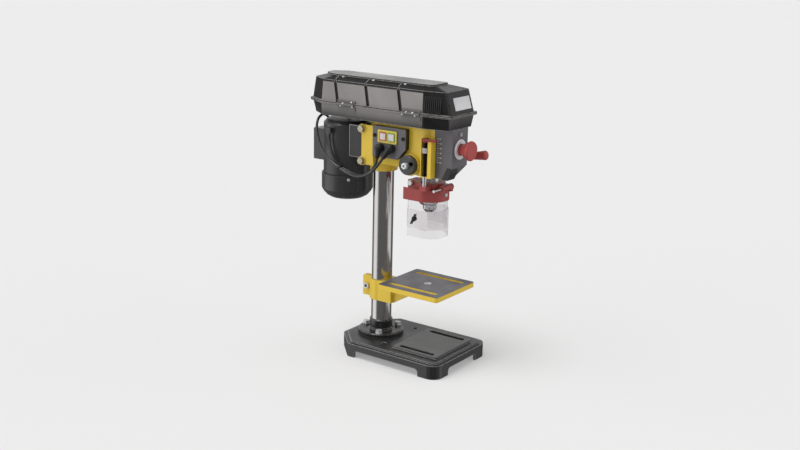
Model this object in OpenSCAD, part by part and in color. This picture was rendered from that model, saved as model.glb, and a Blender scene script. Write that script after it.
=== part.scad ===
// Benchtop drill press on a round column, in millimetres.
// Modelled about the column axis: X points forward to the spindle, Z up, Z = 0 at the bench.

/* [Base] */
// Column axis to front edge of base
base_front = 222; // [205:1:226]
// Column axis to rear edge of base
base_rear = 68; // [64:1:72]
// Width of base over its feet
base_w = 206; // [190:1:260]
// Height of base at its outer rim
rim_h = 31; // [26:1:38]
// Height of step from rim to top of base
base_step_h = 4; // [3:0.5:8]
// How far step lies inside rim
base_step_in = 9; // [7:1:14]
// Wall thickness of base casting
base_wall = 6; // [4:0.5:8]
// Thickness of top of base
base_top_t = 8; // [6:0.5:10]
// Radius of front corners of base
base_corner_r = 24; // [16:1:32]
// Leg of chamfer at rear corners of base
base_chamfer = 52; // [44:1:56]
// Height of cut-outs between feet
foot_h = 16; // [10:1:22]
// Length of a corner foot along skirt
foot_l = 48; // [40:1:56]
// Height of raised work face on base
work_face_h = 4; // [2:0.5:6]
// Length of work face
work_face_l = 116; // [104:1:124]
// Width of work face
work_face_w = 144; // [136:1:156]
// Distance from front edge of base to work face
work_face_gap = 22; // [19:1:26]
// Length of a slot in base
base_slot_l = 92; // [60:1:98]
// Width of a slot in base
base_slot_w = 12; // [8:0.5:14]
// Spacing of base slots
base_slot_pitch = 118; // [104:1:122]
// Diameter of bolt-down holes
bolt_hole_d = 11; // [8:0.5:13]
// Column axis to bolt-down holes
bolt_hole_x = 53; // [50:1:56]
// Spacing of bolt-down holes
bolt_hole_pitch = 122; // [118:1:130]

/* [Column] */
// Diameter of column
column_d = 46; // [42:0.5:50]
// Wall thickness of column tube
column_wall = 3; // [2:0.25:5]
// Length of column above top of base
column_l = 485; // [478:1:488]
// Diameter of column flange
flange_d = 104; // [100:1:106]
// Thickness of flange disc
flange_t = 9; // [7:0.5:12]
// Wall of neck around column
neck_wall = 3; // [2.5:0.5:6]
// Height of flange with its neck
neck_h = 33; // [26:1:36]
// Number of flange bolts
flange_bolts_n = 3; // [3:1:4]
// Radius of flange bolt circle
flange_bolt_r = 42; // [41:0.5:43]
// Thread diameter of large bolts
bolt_d = 8; // [6:0.5:8]
// Across flats of large bolt heads
bolt_af = 13; // [11:0.5:13.5]
// Height of large bolt heads
bolt_head_h = 5.5; // [4:0.25:7]

/* [Table] */
// Length of table along X
table_l = 156; // [146:1:162]
// Spindle axis to rear edge of table
table_back = 81; // [78:1:84]
// Width of table
table_w = 150; // [140:1:190]
// Height of table edge
table_t = 11; // [9:0.5:14]
// Thickness of table plate inside its rim
table_plate_t = 7; // [5:0.5:8]
// Width of rim under table
table_rim = 8; // [5:0.5:11]
// Height of table top above bench
table_z = 174; // [150:1:190]
// Corner radius of table
table_corner_r = 6; // [2:0.5:10]
// Diameter of centre hole of table
table_hole_d = 17; // [10:0.5:24]
// Length of a slot in table
table_slot_l = 126; // [80:1:130]
// Width of a slot in table
table_slot_w = 10; // [8:0.5:12]
// Spacing of table slots
table_slot_pitch = 104; // [90:1:110]
// Wall of clamp around column
clamp_wall = 4; // [3.5:0.5:5]
// Height of column clamp
clamp_h = 46; // [40:1:52]
// Width of split in clamp
clamp_gap = 4; // [2:0.5:6]
// Thickness of one clamp lug
lug_t = 6; // [5:0.5:9]
// Length of a clamp lug behind lock bolt
lug_end = 12; // [10:0.5:13]
// Distance from clamp sleeve to lock bolt
lug_reach = 8; // [7:0.5:10]
// Width of arm under table
arm_w = 34; // [24:1:40]
// Diameter of lock stud
lock_d = 8; // [6:0.5:9]
// Length of lock lever
lock_lever_l = 58; // [50:1:64]

/* [Head] */
// Height of underside of head at quill
head_z = 420; // [417:0.5:422]
// Height of head from quill mouth to belt tray
head_h = 107; // [105:0.5:110]
// Width of head casting
head_w = 70; // [68:0.5:72]
// How far column socket reaches below quill mouth
socket_drop = 6; // [4:0.5:10]
// Wall of column socket
socket_wall = 7.5; // [6.5:0.5:9]
// Column axis to spindle axis
spindle_x = 125; // [122:0.5:130]
// Height of arch between column socket and quill housing
arch_h = 13; // [10:1:16]
// Wall of hollow web of head
web_wall = 6; // [4:0.5:8]
// Column axis to joint between casting and front cover
cover_x = 153; // [152:0.5:156]
// Depth of front cover
cover_l = 44; // [40:1:52]
// Width of front cover
cover_w = 58; // [54:1:60]
// Wall of front cover
cover_wall = 3; // [2:0.25:4]
// Length of slope at lower front of cover, along X
slope_l = 25; // [20:1:28]
// Height of slope at lower front of cover
slope_h = 26; // [22:1:30]
// Height of emergency stop above underside of head
estop_rise = 63; // [60:1:66]
// Diameter of emergency stop's ring
estop_ring_d = 43; // [42:0.5:46]
// Diameter of mushroom button
mushroom_d = 42; // [36:1:44]
// How far mushroom button stands out
mushroom_l = 31; // [28:0.5:34]
// Travel of mushroom button
mushroom_travel = 5; // [3:0.5:7]
// Width of work lamp's pod
lamp_w = 28; // [24:1:30]
// Depth of pod under slope of cover
lamp_t = 10; // [8:0.5:12]

/* [Quill and spindle] */
// Diameter of quill
quill_d = 42; // [40:0.5:44]
// How far quill reaches below head at rest
quill_drop = 36; // [33:1:37]
// Room in head over quill for drive sleeve's bearings
quill_room = 24; // [24:0.5:27]
// Travel of quill
quill_travel = 50; // [30:1:50]
// Diameter of spindle in its bearings
spindle_d = 12; // [10:0.5:13]
// Outer diameter of quill bearings
quill_bearing_d = 32; // [29:0.5:32]
// Width of one bearing
bearing_w = 10; // [8:0.5:10]
// Outer diameter of bearings of drive sleeve
sleeve_bearing_d = 35; // [32:0.5:36]
// Diameter of drive sleeve
sleeve_d = 17; // [16:0.5:19]
// Width of one spline of spindle
spline_w = 3; // [2:0.25:3.5]
// Height of one spline of spindle
spline_h = 1.2; // [0.8:0.1:1.4]
// Number of splines
splines_n = 4; // [4:1:4]

/* [Chuck] */
// Diameter of chuck sleeve
chuck_d = 34; // [33:0.5:36]
// Length of chuck
chuck_l = 42; // [41:0.5:44]
// Length of toothed sleeve
chuck_sleeve_l = 20; // [17:0.5:22]
// Diameter of chuck body inside sleeve
chuck_core_d = 27; // [26.5:0.5:28]
// Diameter of chuck nose at its lower end
chuck_nose_d = 22; // [21:0.5:24]
// Number of teeth on sleeve
chuck_teeth_n = 20; // [16:1:26]
// Diameter of one jaw
jaw_d = 5; // [4:0.25:5]
// Length of one jaw
jaw_l = 26; // [22:0.5:27]
// Distance from chuck axis to a jaw's axis at nose
jaw_r = 5.5; // [5.3:0.1:5.6]
// Slope of jaws from chuck axis, in degrees
jaw_slope = 8; // [7:0.5:9]
// Travel of a jaw
jaw_travel = 14; // [8:1:14]

/* [Feed] */
// Module of rack and its pinion
rack_module = 1.25; // [1.25:0.05:1.4]
// Number of teeth on pinion
pinion_teeth = 15; // [14:1:15]
// Width of pinion's teeth
pinion_w = 16; // [12:0.5:18]
// Height of pinion shaft above underside of head
pinion_rise = 22.7; // [22.5:0.1:24]
// Diameter of pinion shaft's journal at hub
journal_d = 22; // [22:0.1:23]
// Diameter of pinion shaft's journal at spring
spring_journal_d = 14; // [12:0.5:15]
// Diameter of return spring's cap
spring_cap_d = 42; // [40:0.5:43]
// Depth of return spring's cap
spring_cap_l = 12; // [10:0.5:14]
// Turns of return spring
spring_turns = 4; // [3:0.5:5]
// Diameter of feed hub
hub_d = 36; // [32:1:40]
// Length of feed hub
hub_l = 34; // [30:1:40]
// Number of spokes
spokes_n = 3; // [3:1:4]
// Diameter of a spoke
spoke_d = 10; // [8:0.5:10]
// Hub axis to end of a knob
handle_r = 124; // [100:1:126]
// Rest angle of front spoke above level
spoke_angle = 9; // [0:1:20]
// Angle that spokes lean away from head
spoke_tilt = 9; // [8:0.5:12]
// Diameter of a knob at its outer end
knob_d = 21; // [17:0.5:21]
// Length of a knob
knob_l = 32; // [26:1:40]

/* [Depth stop] */
// Diameter of depth rod
rod_d = 8; // [6:0.5:9]
// Spindle axis forward to rod
rod_dx = 14; // [12:0.5:15]
// Distance from head's side to rod
rod_out = 9; // [8.5:0.5:11]
// Across flats of depth nuts
nut_af = 11; // [10:0.5:13]
// Height of one depth nut
nut_h = 5; // [4:0.5:6]
// Height of nuts' lower face above underside of head
nut_rise = 54.5; // [54.5:0.5:56]
// Width of groove in depth channel
groove_w = 16; // [15.8:0.2:17]
// Width of channel's front ridge
ridge_w = 9; // [7:0.5:10]
// Width of channel's rear ridge
ridge_rear_w = 2; // [1.5:0.5:3]
// Height of depth channel
channel_h = 84; // [80:1:88]

/* [Guard] */
// Wall of guard collar around quill
collar_wall = 12; // [10:0.5:13]
// Height of guard collar
collar_h = 20; // [18:0.5:20]
// Inner radius of guard frame
guard_r = 38.5; // [37.5:0.5:40]
// Thickness of guard frame
guard_t = 3; // [2.5:0.25:4]
// Height of guard frame
guard_h = 26; // [22:0.5:28]
// How far guard's sides reach behind spindle axis
guard_back = 42; // [38:1:44]
// How far shields reach behind spindle axis
shield_back = 31; // [26:1:34]
// Diameter of guard's hinge pin
guard_pin_d = 6; // [5:0.25:6.5]
// Spindle axis to guard's hinge pin
guard_pin_x = 41; // [40:0.25:42]
// Thickness of a clear shield
shield_t = 2; // [1.5:0.1:2.4]
// Length of upper shield below frame
upper_shield_l = 62; // [56:1:64]
// Height of lower shield
lower_shield_h = 60; // [54:1:64]
// Distance between guard frame and lower shield
lower_shield_gap = 20.5; // [17:0.5:22]
// Travel of lower shield
shield_travel = 12; // [8:1:12]
// Diameter of wing screw's thread
wing_d = 5; // [4:0.25:6]

/* [Belt housing] */
// Column axis to front of belt housing
housing_front = 202; // [196:1:206]
// Column axis to rear of belt housing
housing_rear = 179; // [174:1:186]
// Half width of belt housing
housing_hw = 56; // [55:0.5:58]
// Half width of its front face
housing_front_hw = 46; // [40:0.5:48]
// Half width of its rear face
housing_rear_hw = 31; // [27:0.5:36]
// Column axis to front shoulder
housing_front_sx = 140; // [134:1:146]
// Column axis to rear shoulder
housing_rear_sx = 130; // [124:1:136]
// Thickness of tray's sheet
tray_t = 2.5; // [2:0.25:3]
// Height of tray
tray_h = 29; // [26:0.5:30]
// Thickness of tray's floor
tray_floor_t = 3; // [2:0.25:4]
// Width of lips at seam
lip_w = 4.5; // [3:0.25:5]
// Thickness of one lip
lip_t = 3; // [2:0.25:3.5]
// Wall of lid
lid_wall = 3; // [2.5:0.25:3.5]
// Height of lid's sloping sides
lid_side_h = 49.5; // [46:0.5:54]
// How far lid's sides lean inwards
lid_lean = 1.5; // [0.5:0.25:3]
// How far lid's front leans back
lid_front_lean = 15; // [10:1:18]
// Height of raised roof
roof_h = 7; // [6:0.5:9]
// Half width of flat of roof
roof_hw = 31; // [28:1:34]
// Width of a groove between lid's panels
panel_groove_w = 5; // [3:0.5:6]
// Depth of a groove between lid's panels
panel_groove_d = 1.2; // [0.6:0.1:1.5]
// Length of one lid hinge
hinge_l = 48; // [42:1:56]
// Diameter of a hinge barrel
hinge_d = 6; // [5:0.25:6.5]
// Diameter of a hinge pin
hinge_pin_d = 3; // [2.5:0.1:3.5]

/* [Pulleys] */
// Diameter of smallest pulley step
step_d = 40; // [38:1:42]
// Growth of diameter from step to step
step_growth = 11; // [10:0.5:12]
// Number of pulley steps
steps_n = 5; // [4:1:5]
// Height of one pulley step
step_h = 12; // [11.5:0.25:12]
// Height of lowest step above tray floor
pulley_rise = 7; // [6:0.5:8]
// Step of spindle pulley that carries belt, from below
belt_step = 1; // [1:1:2]
// Width of belt at its back
belt_w = 9; // [8:0.25:9]
// Thickness of belt
belt_t = 6; // [5:0.25:6.5]
// Angle of belt's flanks from upright to its flat, in degrees
belt_flank = 18; // [16:1:20]

/* [Motor] */
// Column axis back to motor axis
motor_x = 102; // [101:0.5:106]
// Diameter of motor body
motor_d = 108; // [104:0.5:110]
// Height of motor body's lower end above bench
motor_z = 393; // [388:1:398]
// Height of motor body
motor_h = 122; // [116:1:124]
// Wall of motor body
motor_wall = 4; // [3:0.5:6]
// Diameter of fan cover
fan_cover_d = 116; // [114:1:118]
// Height of fan cover
fan_cover_h = 55; // [50:1:60]
// Height of rounding at fan cover's lower edge
fan_cover_round = 20; // [14:1:24]
// Diameter of motor shaft
motor_shaft_d = 14; // [12:0.5:15]
// Depth of capacitor box behind motor axis
box_back = 81; // [78:1:84]
// Width of capacitor box
box_w = 50; // [42:1:54]
// Height of capacitor box
box_h = 71; // [64:1:76]
// Thickness of bracket's plate
bracket_t = 2.4; // [2:0.1:2.5]
// Height of motor bracket
bracket_h = 71; // [66:1:76]
// Column axis back to slide bolts
slide_bolt_x = 26; // [25:0.5:27]
// Spacing of slide bolts in height
slide_bolt_pitch = 71; // [69:1:73]
// Travel of motor on its slots
motor_travel = 8; // [5:0.5:8]

/* [Switch] */
// Length of switch box
switch_l = 87; // [84:1:90]
// Height of switch box
switch_h = 67; // [64:1:70]
// Depth of switch box
switch_t = 11; // [9:0.5:12]
// Thickness of switch plate
plate_t = 2.5; // [2:0.25:3]
// Width of one push button
button_w = 18.5; // [16:0.5:20]
// Height of one push button
button_h = 18.5; // [16:0.5:20]
// Travel of push buttons
button_travel = 3; // [2:0.25:4]
// Diameter of two leads
lead_d = 6; // [5:0.25:6.5]

/* [Fits] */
// Clearance between faces that move past each other
gap = 0.3; // [0.2:0.05:0.5]
// Radial clearance of a running fit
run = 0.05; // [0.02:0.01:0.1]

/* [Hidden] */
$fn = 64;
eps = 0.01;
past = 2;

cast_black = "#26272a";
paint_yellow = "#e3b21c";
paint_grey = "#5d5c61";
bright_steel = "#b9bcc0";
dark_steel = "#3a3b3e";
signal_red = "#a83636";
signal_green = "#2f7d3d";
clear_plastic = "#dfe6ea";

// Frame: the origin lies under the middle of the machine's length
frame_x = (max(base_front, cover_x + cover_l + mushroom_l) - housing_rear - lip_w) / 2;

// Base and column
base_z = rim_h + base_step_h;
foot_round = foot_h / 2;
work_face_x1 = base_front - work_face_gap;
work_face_x0 = work_face_x1 - work_face_l;
column_r = column_d / 2;
column_top = base_z + column_l;
neck_r = column_r + neck_wall;
flange_edge = 2;
bolt_hole_loose = 1;
washer_t = 1.6;
tap_depth = base_top_t - 1;

// Table
table_x = spindle_x;
clamp_r = column_r + clamp_wall;
clamp_z1 = table_z - table_t - 1;
clamp_z0 = clamp_z1 - clamp_h;
lock_x = -(clamp_r + lug_reach);
lock_z = clamp_z0 + clamp_h / 2;
lug_y = clamp_gap / 2 + lug_t;
lock_nut_af = lock_d * 1.6;
lock_nut_h = lock_d * 0.8;
lock_boss_d = lock_d * 2;
lock_boss_l = clamp_r + lock_d / 2 + 2 * gap;
lock_lever_angle = 0;
block_x0 = -10;
block_y = clamp_r - 1;

// Head
head_top = head_z + head_h;
head_y = head_w / 2;
socket_r = column_r + socket_wall;
quill_r = quill_d / 2;
quill_bore_top = head_top - 2 * bearing_w - 3;
pinion_r = rack_module * pinion_teeth / 2;
rack_x = quill_r - 1;
pinion_x = spindle_x - rack_x + rack_module - pinion_r;
pinion_z = head_z + pinion_rise;
spring_boss_y = head_y + 5;
spring_boss_d = spring_cap_d + 6;
hub_boss_y = head_y + 7;
hub_boss_d = journal_d + 14;
cover_x1 = cover_x + cover_l;
estop_z = head_z + estop_rise;
lamp_y0 = -cover_w / 2 - 1.5;
estop_hole_d = 22;
estop_ring_t = 3;
cover_screw_z = (estop_z + estop_ring_d / 2 + head_top) / 2 - 0.75;
screw_d = 4;
screw_head_d = 8;
screw_head_h = 2.5;
set_screw_d = 8;
set_screw_pitch = 60;

// Quill, spindle and drive sleeve
quill_z0 = head_z - quill_drop;
quill_z1 = head_top - quill_room;
quill_l = quill_z1 - quill_z0;
rack_z0 = pinion_z - pinion_r - 2 * rack_module;
rack_teeth_n = floor((quill_z1 - rack_z0 - 1) / (PI * rack_module));
sleeve_z0 = quill_bore_top + 1;
tray_z = head_top;
floor_z = tray_z + tray_floor_t;
pulley_z = floor_z + pulley_rise;
pulley_h = steps_n * step_h;
sleeve_z1 = pulley_z + pulley_h + 4;
spline_r = spindle_d / 2 - spline_h;
spindle_z1 = sleeve_z1 - 5;
spindle_shoulder_r = spindle_d / 2 + 3;
bearing_wall = 3.5;

// Chuck
chuck_z1 = quill_z0 - 4;
chuck_z0 = chuck_z1 - chuck_l;
chuck_sleeve_z1 = chuck_z1 - 6;
chuck_sleeve_z0 = chuck_sleeve_z1 - chuck_sleeve_l;
chuck_core_r = chuck_core_d / 2;
chuck_bore_r = 2.5;
taper_l = 15;
taper_r0 = 6;
taper_r1 = 6.8;

// Feed
hub_y0 = hub_boss_y + gap;
hub_y1 = hub_y0 + hub_l;
spoke_y = hub_y0 + hub_l / 2;
spoke_r0 = journal_d / 2 + 1;
spoke_r1 = handle_r - 10;
knob_neck_d = knob_d - 5;
cap_wall = 2.5;
spring_strip = 0.9;
spring_r0 = spring_journal_d / 2 + gap;
spring_r1 = spring_cap_d / 2 - cap_wall - spring_strip - gap;
journal_y = sqrt(pow(quill_r, 2) - pow(spindle_x - pinion_x - journal_d / 2, 2)) + 2 * gap;
shaft_end_y = spring_boss_y + spring_cap_l + 2;

// Depth stop
rod_x = spindle_x + rod_dx;
rod_y = -(head_y + rod_out);
rod_z1 = head_z + channel_h;
channel_y = head_y + 12;
channel_x0 = rod_x - groove_w / 2 - ridge_rear_w;
channel_x1 = rod_x + groove_w / 2 + ridge_w;
channel_z1 = head_z + channel_h;
channel_lug_h = 3;
groove_y = head_y + 1;
nut_z = head_z + nut_rise;
pointer_h = 7;
pointer_t = 3;

// Guard
collar_r = quill_r + collar_wall;
collar_z0 = quill_z0;
collar_z1 = collar_z0 + collar_h;
guard_pin_px = spindle_x + guard_pin_x;
guard_pin_z = collar_z0 + 12;
guard_knuckle_d = guard_pin_d + 8;
guard_lug_w = 22;
guard_knuckle_w = 8;
guard_z1 = collar_z0 + 8.5;
guard_z0 = guard_z1 - guard_h;
guard_pin_y0 = -48;
guard_pin_y1 = guard_lug_w / 2 + gap + guard_knuckle_w + 2;
upper_z0 = guard_z0 - upper_shield_l;
lower_z1 = guard_z0 - lower_shield_gap;
lower_z0 = lower_z1 - lower_shield_h;
lower_r = guard_r + gap;
wing_x = spindle_x - 10;
wing_z = lower_z1 - 18;
rod_arm_z = guard_z1 + 2 * gap;
collar_ear_l = 15;
collar_ear_w = 16;
collar_bolt_d = 6;
collar_bolt_x = spindle_x - collar_r - 7;
collar_bolt_z = collar_z1 - 4;

// Belt housing
seam_z = tray_z + tray_h;
lid_z = seam_z + gap;
lid_top_z = lid_z + lid_side_h;
roof_z = lid_top_z + roof_h;
hinge_axis_y = -(housing_hw + lip_w + 1.5);
hinge_axis_z = seam_z + gap / 2;
hinge_leaf_t = 2;
hinge_leaf_h = 9;
roof_plate_t = 3.5;
hinge_xs = [-62, 110];
hinge_notch = hinge_l + 2;
hinge_knuckle_l = hinge_l / 3;
housing_round = 6;
panel_xs = [-87, -4, 82];
panel_lean_x = -9;
tray_bolt_spots = [[55, 0], [spindle_x, 27], [spindle_x, -27]];
tray_bolt_d = 6;

// Motor
motor_r = motor_d / 2;
motor_top = motor_z + motor_h;
foot_pad_h = bracket_h - 12;
bracket_z0 = head_top - 16 - bracket_h;
bracket_y = 42;
bracket_web_x = -motor_x + motor_r;
bracket_front_x = -15;
bracket_rear_y = bracket_y - bracket_t;
foot_w = 2 * bracket_rear_y - 2;
bracket_rear_x = -motor_x + sqrt(pow(motor_r, 2) - pow(bracket_rear_y, 2)) + gap;
boss_y = bracket_y + gap;
wing_t = 3.7;
ear_t = 1.5;
ear_d = 20;
wing_x0 = -28;
wing_x1 = 4;
wing_z1 = head_top - 11;
wing_z0 = head_z + 8;
slide_bolt_z0 = head_top - 20 - slide_bolt_pitch;
box_z1 = motor_top - 28;
box_y1 = 28;
gland_a = [-106, -61, 489];
gland_b = [-165, 13, 495];

// Switch
switch_x0 = wing_x1;
switch_x1 = switch_x0 + switch_l;
switch_z1 = head_top - 9;
switch_z0 = switch_z1 - switch_h;
switch_y0 = head_y + switch_t;
switch_y1 = switch_y0 + plate_t;
cut_slope = 8 / 7;
cut_reach = spring_boss_d / 2 + 10.1375;
switch_cut_x = switch_x1 - pinion_x + cut_reach - (switch_z0 - pinion_z) / cut_slope;
switch_cut_z = switch_cut_x * cut_slope;
bezel_x = switch_x0 + 40.5;
bezel_z = switch_z1 - 20.5;
bezel_t = 3;
plate_screw_xs = [switch_x0 + 6, switch_x1 - 6];
bezel_border = 4.5;
button_pitch = button_w + 3.5;
button_out = 4.5;
boot_y = switch_y1 + 9;

// Leads: hand-chosen points, from boots to motor
boot_a = [switch_x0 + 23, -boot_y, switch_z0 + 21];
boot_b = [switch_x0 + 52, -boot_y, switch_z0 + 22];
lead_a_route = [
  [25, -60, 450], [22, -62, 435], [8, -63, 417], [-19, -63, 406], [-52, -62, 411],
  [-77, -62, 420], [-93, -62, 436], [-102, -62, 456], [-106, -61, 473], gland_a - [0, 0, 2 * gap]
];
lead_b_route = [
  [44, -65, 453], [34, -68, 438], [14, -70, 417], [-19, -70, 405], [-52, -69, 410],
  [-77, -69, 420], [-101, -67, 431], [-123, -63, 447], [-142, -54, 468], [-157, -43, 490],
  [-164, -30, 509], [-165, -13, 518], [-165, 3, 513], [-165, 13, 503], gland_b + [0, 0, 2 * gap]
];
lead_sides = 8;
lead_steps = 3;
belt_facets = 20;
belt_edge = 0.4;
tray_leaf_h = 14;
stator_t = 14;
rotor_room = 24;

// Helpers: outlines

function unit(v) = v / norm(v);

function corner_arc(a, b, c, r, n) =
  let (u = unit(a - b), v = unit(c - b), half = acos(u * v) / 2)
  let (p = b + u * r / tan(half), q = b + v * r / tan(half), o = b + unit(u + v) * r / sin(half))
  let (a0 = atan2(p.y - o.y, p.x - o.x), a1 = atan2(q.y - o.y, q.x - o.x))
  let (turn = (a1 - a0 + 540) % 360 - 180)
  [for (i = [0:n]) o + r * [cos(a0 + turn * i / n), sin(a0 + turn * i / n)]];

// Outline with an arc of the given radius at each corner
function rounded(pts, radii, n = 5) =
  [for (i = [0:len(pts) - 1])
    each corner_arc(pts[(i + len(pts) - 1) % len(pts)], pts[i], pts[(i + 1) % len(pts)], radii[i], n)];

// Convex anticlockwise outline drawn in by d on every side
function inset(pts, d) =
  [for (i = [0:len(pts) - 1])
    let (before = unit(pts[i] - pts[(i + len(pts) - 1) % len(pts)]))
    let (after = unit(pts[(i + 1) % len(pts)] - pts[i]))
    let (n1 = [-before.y, before.x], n2 = [-after.y, after.x])
    pts[i] + (n1 + n2) * d / (1 + n1 * n2)];

function box_outline(x0, x1, y0, y1) = [[x0, y0], [x1, y0], [x1, y1], [x0, y1]];

function rounded_box(x0, x1, y0, y1, r) = rounded(box_outline(x0, x1, y0, y1), [r, r, r, r]);

function base_outline(d) =
  let (w = base_w / 2)
  let (corners = [
    [-base_rear, base_chamfer - w], [base_chamfer - base_rear, -w], [base_front, -w],
    [base_front, w], [base_chamfer - base_rear, w], [-base_rear, w - base_chamfer]
  ])
  let (rear_r = 10 - d / 2, front_r = base_corner_r - d)
  rounded(inset(corners, d), [rear_r, rear_r, front_r, front_r, rear_r, rear_r]);

// Eight-cornered outline of the belt housing: tapered front and rear ends between two long sides
function housing_corners(front, front_hw, front_sx, hw, rear_sx, rear_hw, rear) = [
  [-rear, -rear_hw], [-rear_sx, -hw], [front_sx, -hw], [front, -front_hw],
  [front, front_hw], [front_sx, hw], [-rear_sx, hw], [-rear, rear_hw]
];

seam_corners = housing_corners(housing_front, housing_front_hw, housing_front_sx, housing_hw,
  housing_rear_sx, housing_rear_hw, housing_rear);
side_corners = housing_corners(housing_front - lid_front_lean, housing_front_hw - lid_lean,
  housing_front_sx - 2, housing_hw - lid_lean, housing_rear_sx - 2, housing_rear_hw - lid_lean,
  housing_rear - 8);
roof_corners = housing_corners(housing_front - 50, roof_hw - 6, housing_front_sx - 12, roof_hw,
  housing_rear_sx - 14, roof_hw - 15, housing_rear - 31);
plate_corners = housing_corners(housing_front - 57, roof_hw - 5, housing_front - 64, roof_hw - 1,
  housing_rear - 54, roof_hw - 18, housing_rear - 28);
tray_corners = housing_corners(housing_front - 5, housing_front_hw - 3, housing_front_sx, housing_hw,
  housing_rear_sx, housing_rear_hw - 3, housing_rear - 7);

function housing_outline(corners, d) = rounded(inset(corners, d), [for (c = corners) housing_round], 3);

// Helpers: solids

module placed() {
  translate([-frame_x, 0, 0])
    children();
}

module prism(pts, z0, z1) {
  translate([0, 0, z0])
    linear_extrude(z1 - z0)
      polygon(pts);
}

// Outline given in X and Z, extruded from y0 to y1
module side_prism(pts, y0, y1) {
  translate([0, y1, 0])
    rotate([90, 0, 0])
      linear_extrude(y1 - y0)
        polygon(pts);
}

module rod_x(d, x0, x1) {
  translate([x0, 0, 0])
    rotate([0, 90, 0])
      cylinder(d = d, h = x1 - x0);
}

module rod_y(d, y0, y1) {
  translate([0, y0, 0])
    rotate([-90, 0, 0])
      cylinder(d = d, h = y1 - y0);
}

module rod_z(d, z0, z1) {
  translate([0, 0, z0])
    cylinder(d = d, h = z1 - z0);
}

module ring_z(d, bore, z0, z1) {
  difference() {
    rod_z(d, z0, z1);
    rod_z(bore, z0 - past, z1 + past);
  }
}

module hex_z(af, z0, z1) {
  translate([0, 0, z0])
    cylinder(d = af / cos(30), h = z1 - z0, $fn = 6);
}

// Hexagon bolt, head up, with its seat at z = 0
module hex_bolt(d, af, head_h, shank_l) {
  hex_z(af, washer_t, washer_t + head_h);
  rod_z(d * 2, 0, washer_t);
  rod_z(d, -shank_l, washer_t + eps);
}

module slot_x(l, w, z0, z1) {
  for (s = [-1, 1])
    translate([s * (l - w) / 2, 0, 0])
      rod_z(w, z0, z1);
  translate([-(l - w) / 2, -w / 2, z0])
    cube([l - w, w, z1 - z0]);
}

// Straight-sided solid between two outlines with as many points each
module loft(outlines, heights) {
  n = len(outlines[0]);
  layers = len(outlines);
  points = [for (k = [0:layers - 1]) each [for (p = outlines[k]) [p.x, p.y, heights[k]]]];
  bottom = [[for (i = [0:n - 1]) i]];
  top = [[for (i = [n - 1:-1:0]) (layers - 1) * n + i]];
  sides = [for (k = [0:layers - 2]) each [for (i = [0:n - 1]) each [
    [k * n + i, (k + 1) * n + i, k * n + (i + 1) % n],
    [k * n + (i + 1) % n, (k + 1) * n + i, (k + 1) * n + (i + 1) % n]
  ]]];
  polyhedron(points = points, faces = concat(bottom, top, sides), convexity = 4);
}

// U-shaped band around the spindle axis: half round in front, straight sides to the rear
module guard_band(r, t, back, z0, z1) {
  translate([spindle_x, 0, 0])
    difference() {
      union() {
        rod_z(2 * (r + t), z0, z1);
        translate([-back, -r - t, z0])
          cube([back, 2 * (r + t), z1 - z0]);
      }
      rod_z(2 * r, z0 - past, z1 + past);
      translate([-2 * r - back, -r, z0 - past])
        cube([2 * r + back, 2 * r, z1 - z0 + 2 * past]);
      translate([-3 * r - back, -2 * r, z0 - past])
        cube([3 * r, 4 * r, z1 - z0 + 2 * past]);
    }
}

// Swept round tube along a smooth curve through the route's points

function along(route, i, t) =
  let (last = len(route) - 1)
  let (a = route[max(i - 1, 0)], b = route[i], c = route[min(i + 1, last)], d = route[min(i + 2, last)])
  0.5 * (2 * b + (c - a) * t + (2 * a - 5 * b + 4 * c - d) * t * t + (3 * b - a - 3 * c + d) * t * t * t);

function smooth_route(route, steps) = concat(
  [for (i = [0:len(route) - 2]) each [for (k = [0:steps - 1]) along(route, i, k / steps)]],
  [route[len(route) - 1]]);

function ring_at(c, dir, r, n) =
  let (side = unit(cross(dir, [0.31, 0.17, 0.93])), up = cross(side, dir))
  [for (k = [0:n - 1]) c + r * (side * cos(360 * k / n) + up * sin(360 * k / n))];

module tube_along(route, d) {
  path = smooth_route(route, lead_steps);
  last = len(path) - 1;
  n = lead_sides;
  points = [for (i = [0:last])
    each ring_at(path[i], unit(path[min(i + 1, last)] - path[max(i - 1, 0)]), d / 2, n)];
  sides = [for (i = [0:last - 1]) each [for (k = [0:n - 1]) each [
    [i * n + k, i * n + (k + 1) % n, (i + 1) * n + k],
    [i * n + (k + 1) % n, (i + 1) * n + (k + 1) % n, (i + 1) * n + k]
  ]]];
  polyhedron(
    points = points,
    faces = concat([[for (k = [n - 1:-1:0]) k]], [[for (k = [0:n - 1]) last * n + k]], sides),
    convexity = 6);
}

// Base and column

module base_foot_cuts() {
  x0 = base_chamfer - base_rear + foot_l * 0.37;
  x1 = base_front - foot_l;
  y1 = base_w / 2 - foot_l;
  side_prism(rounded_box(x0, x1, -foot_h, foot_h, foot_round), -base_w, base_w);
  rotate([0, 0, 90])
    side_prism(rounded_box(-y1, y1, -foot_h, foot_h, foot_round), -base_front - past, base_rear + past);
}

module flange_bolt_places(z) {
  for (k = [0:flange_bolts_n - 1])
    rotate([0, 0, 180 + 360 * k / flange_bolts_n])
      translate([flange_bolt_r, 0, z])
        children();
}

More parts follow.
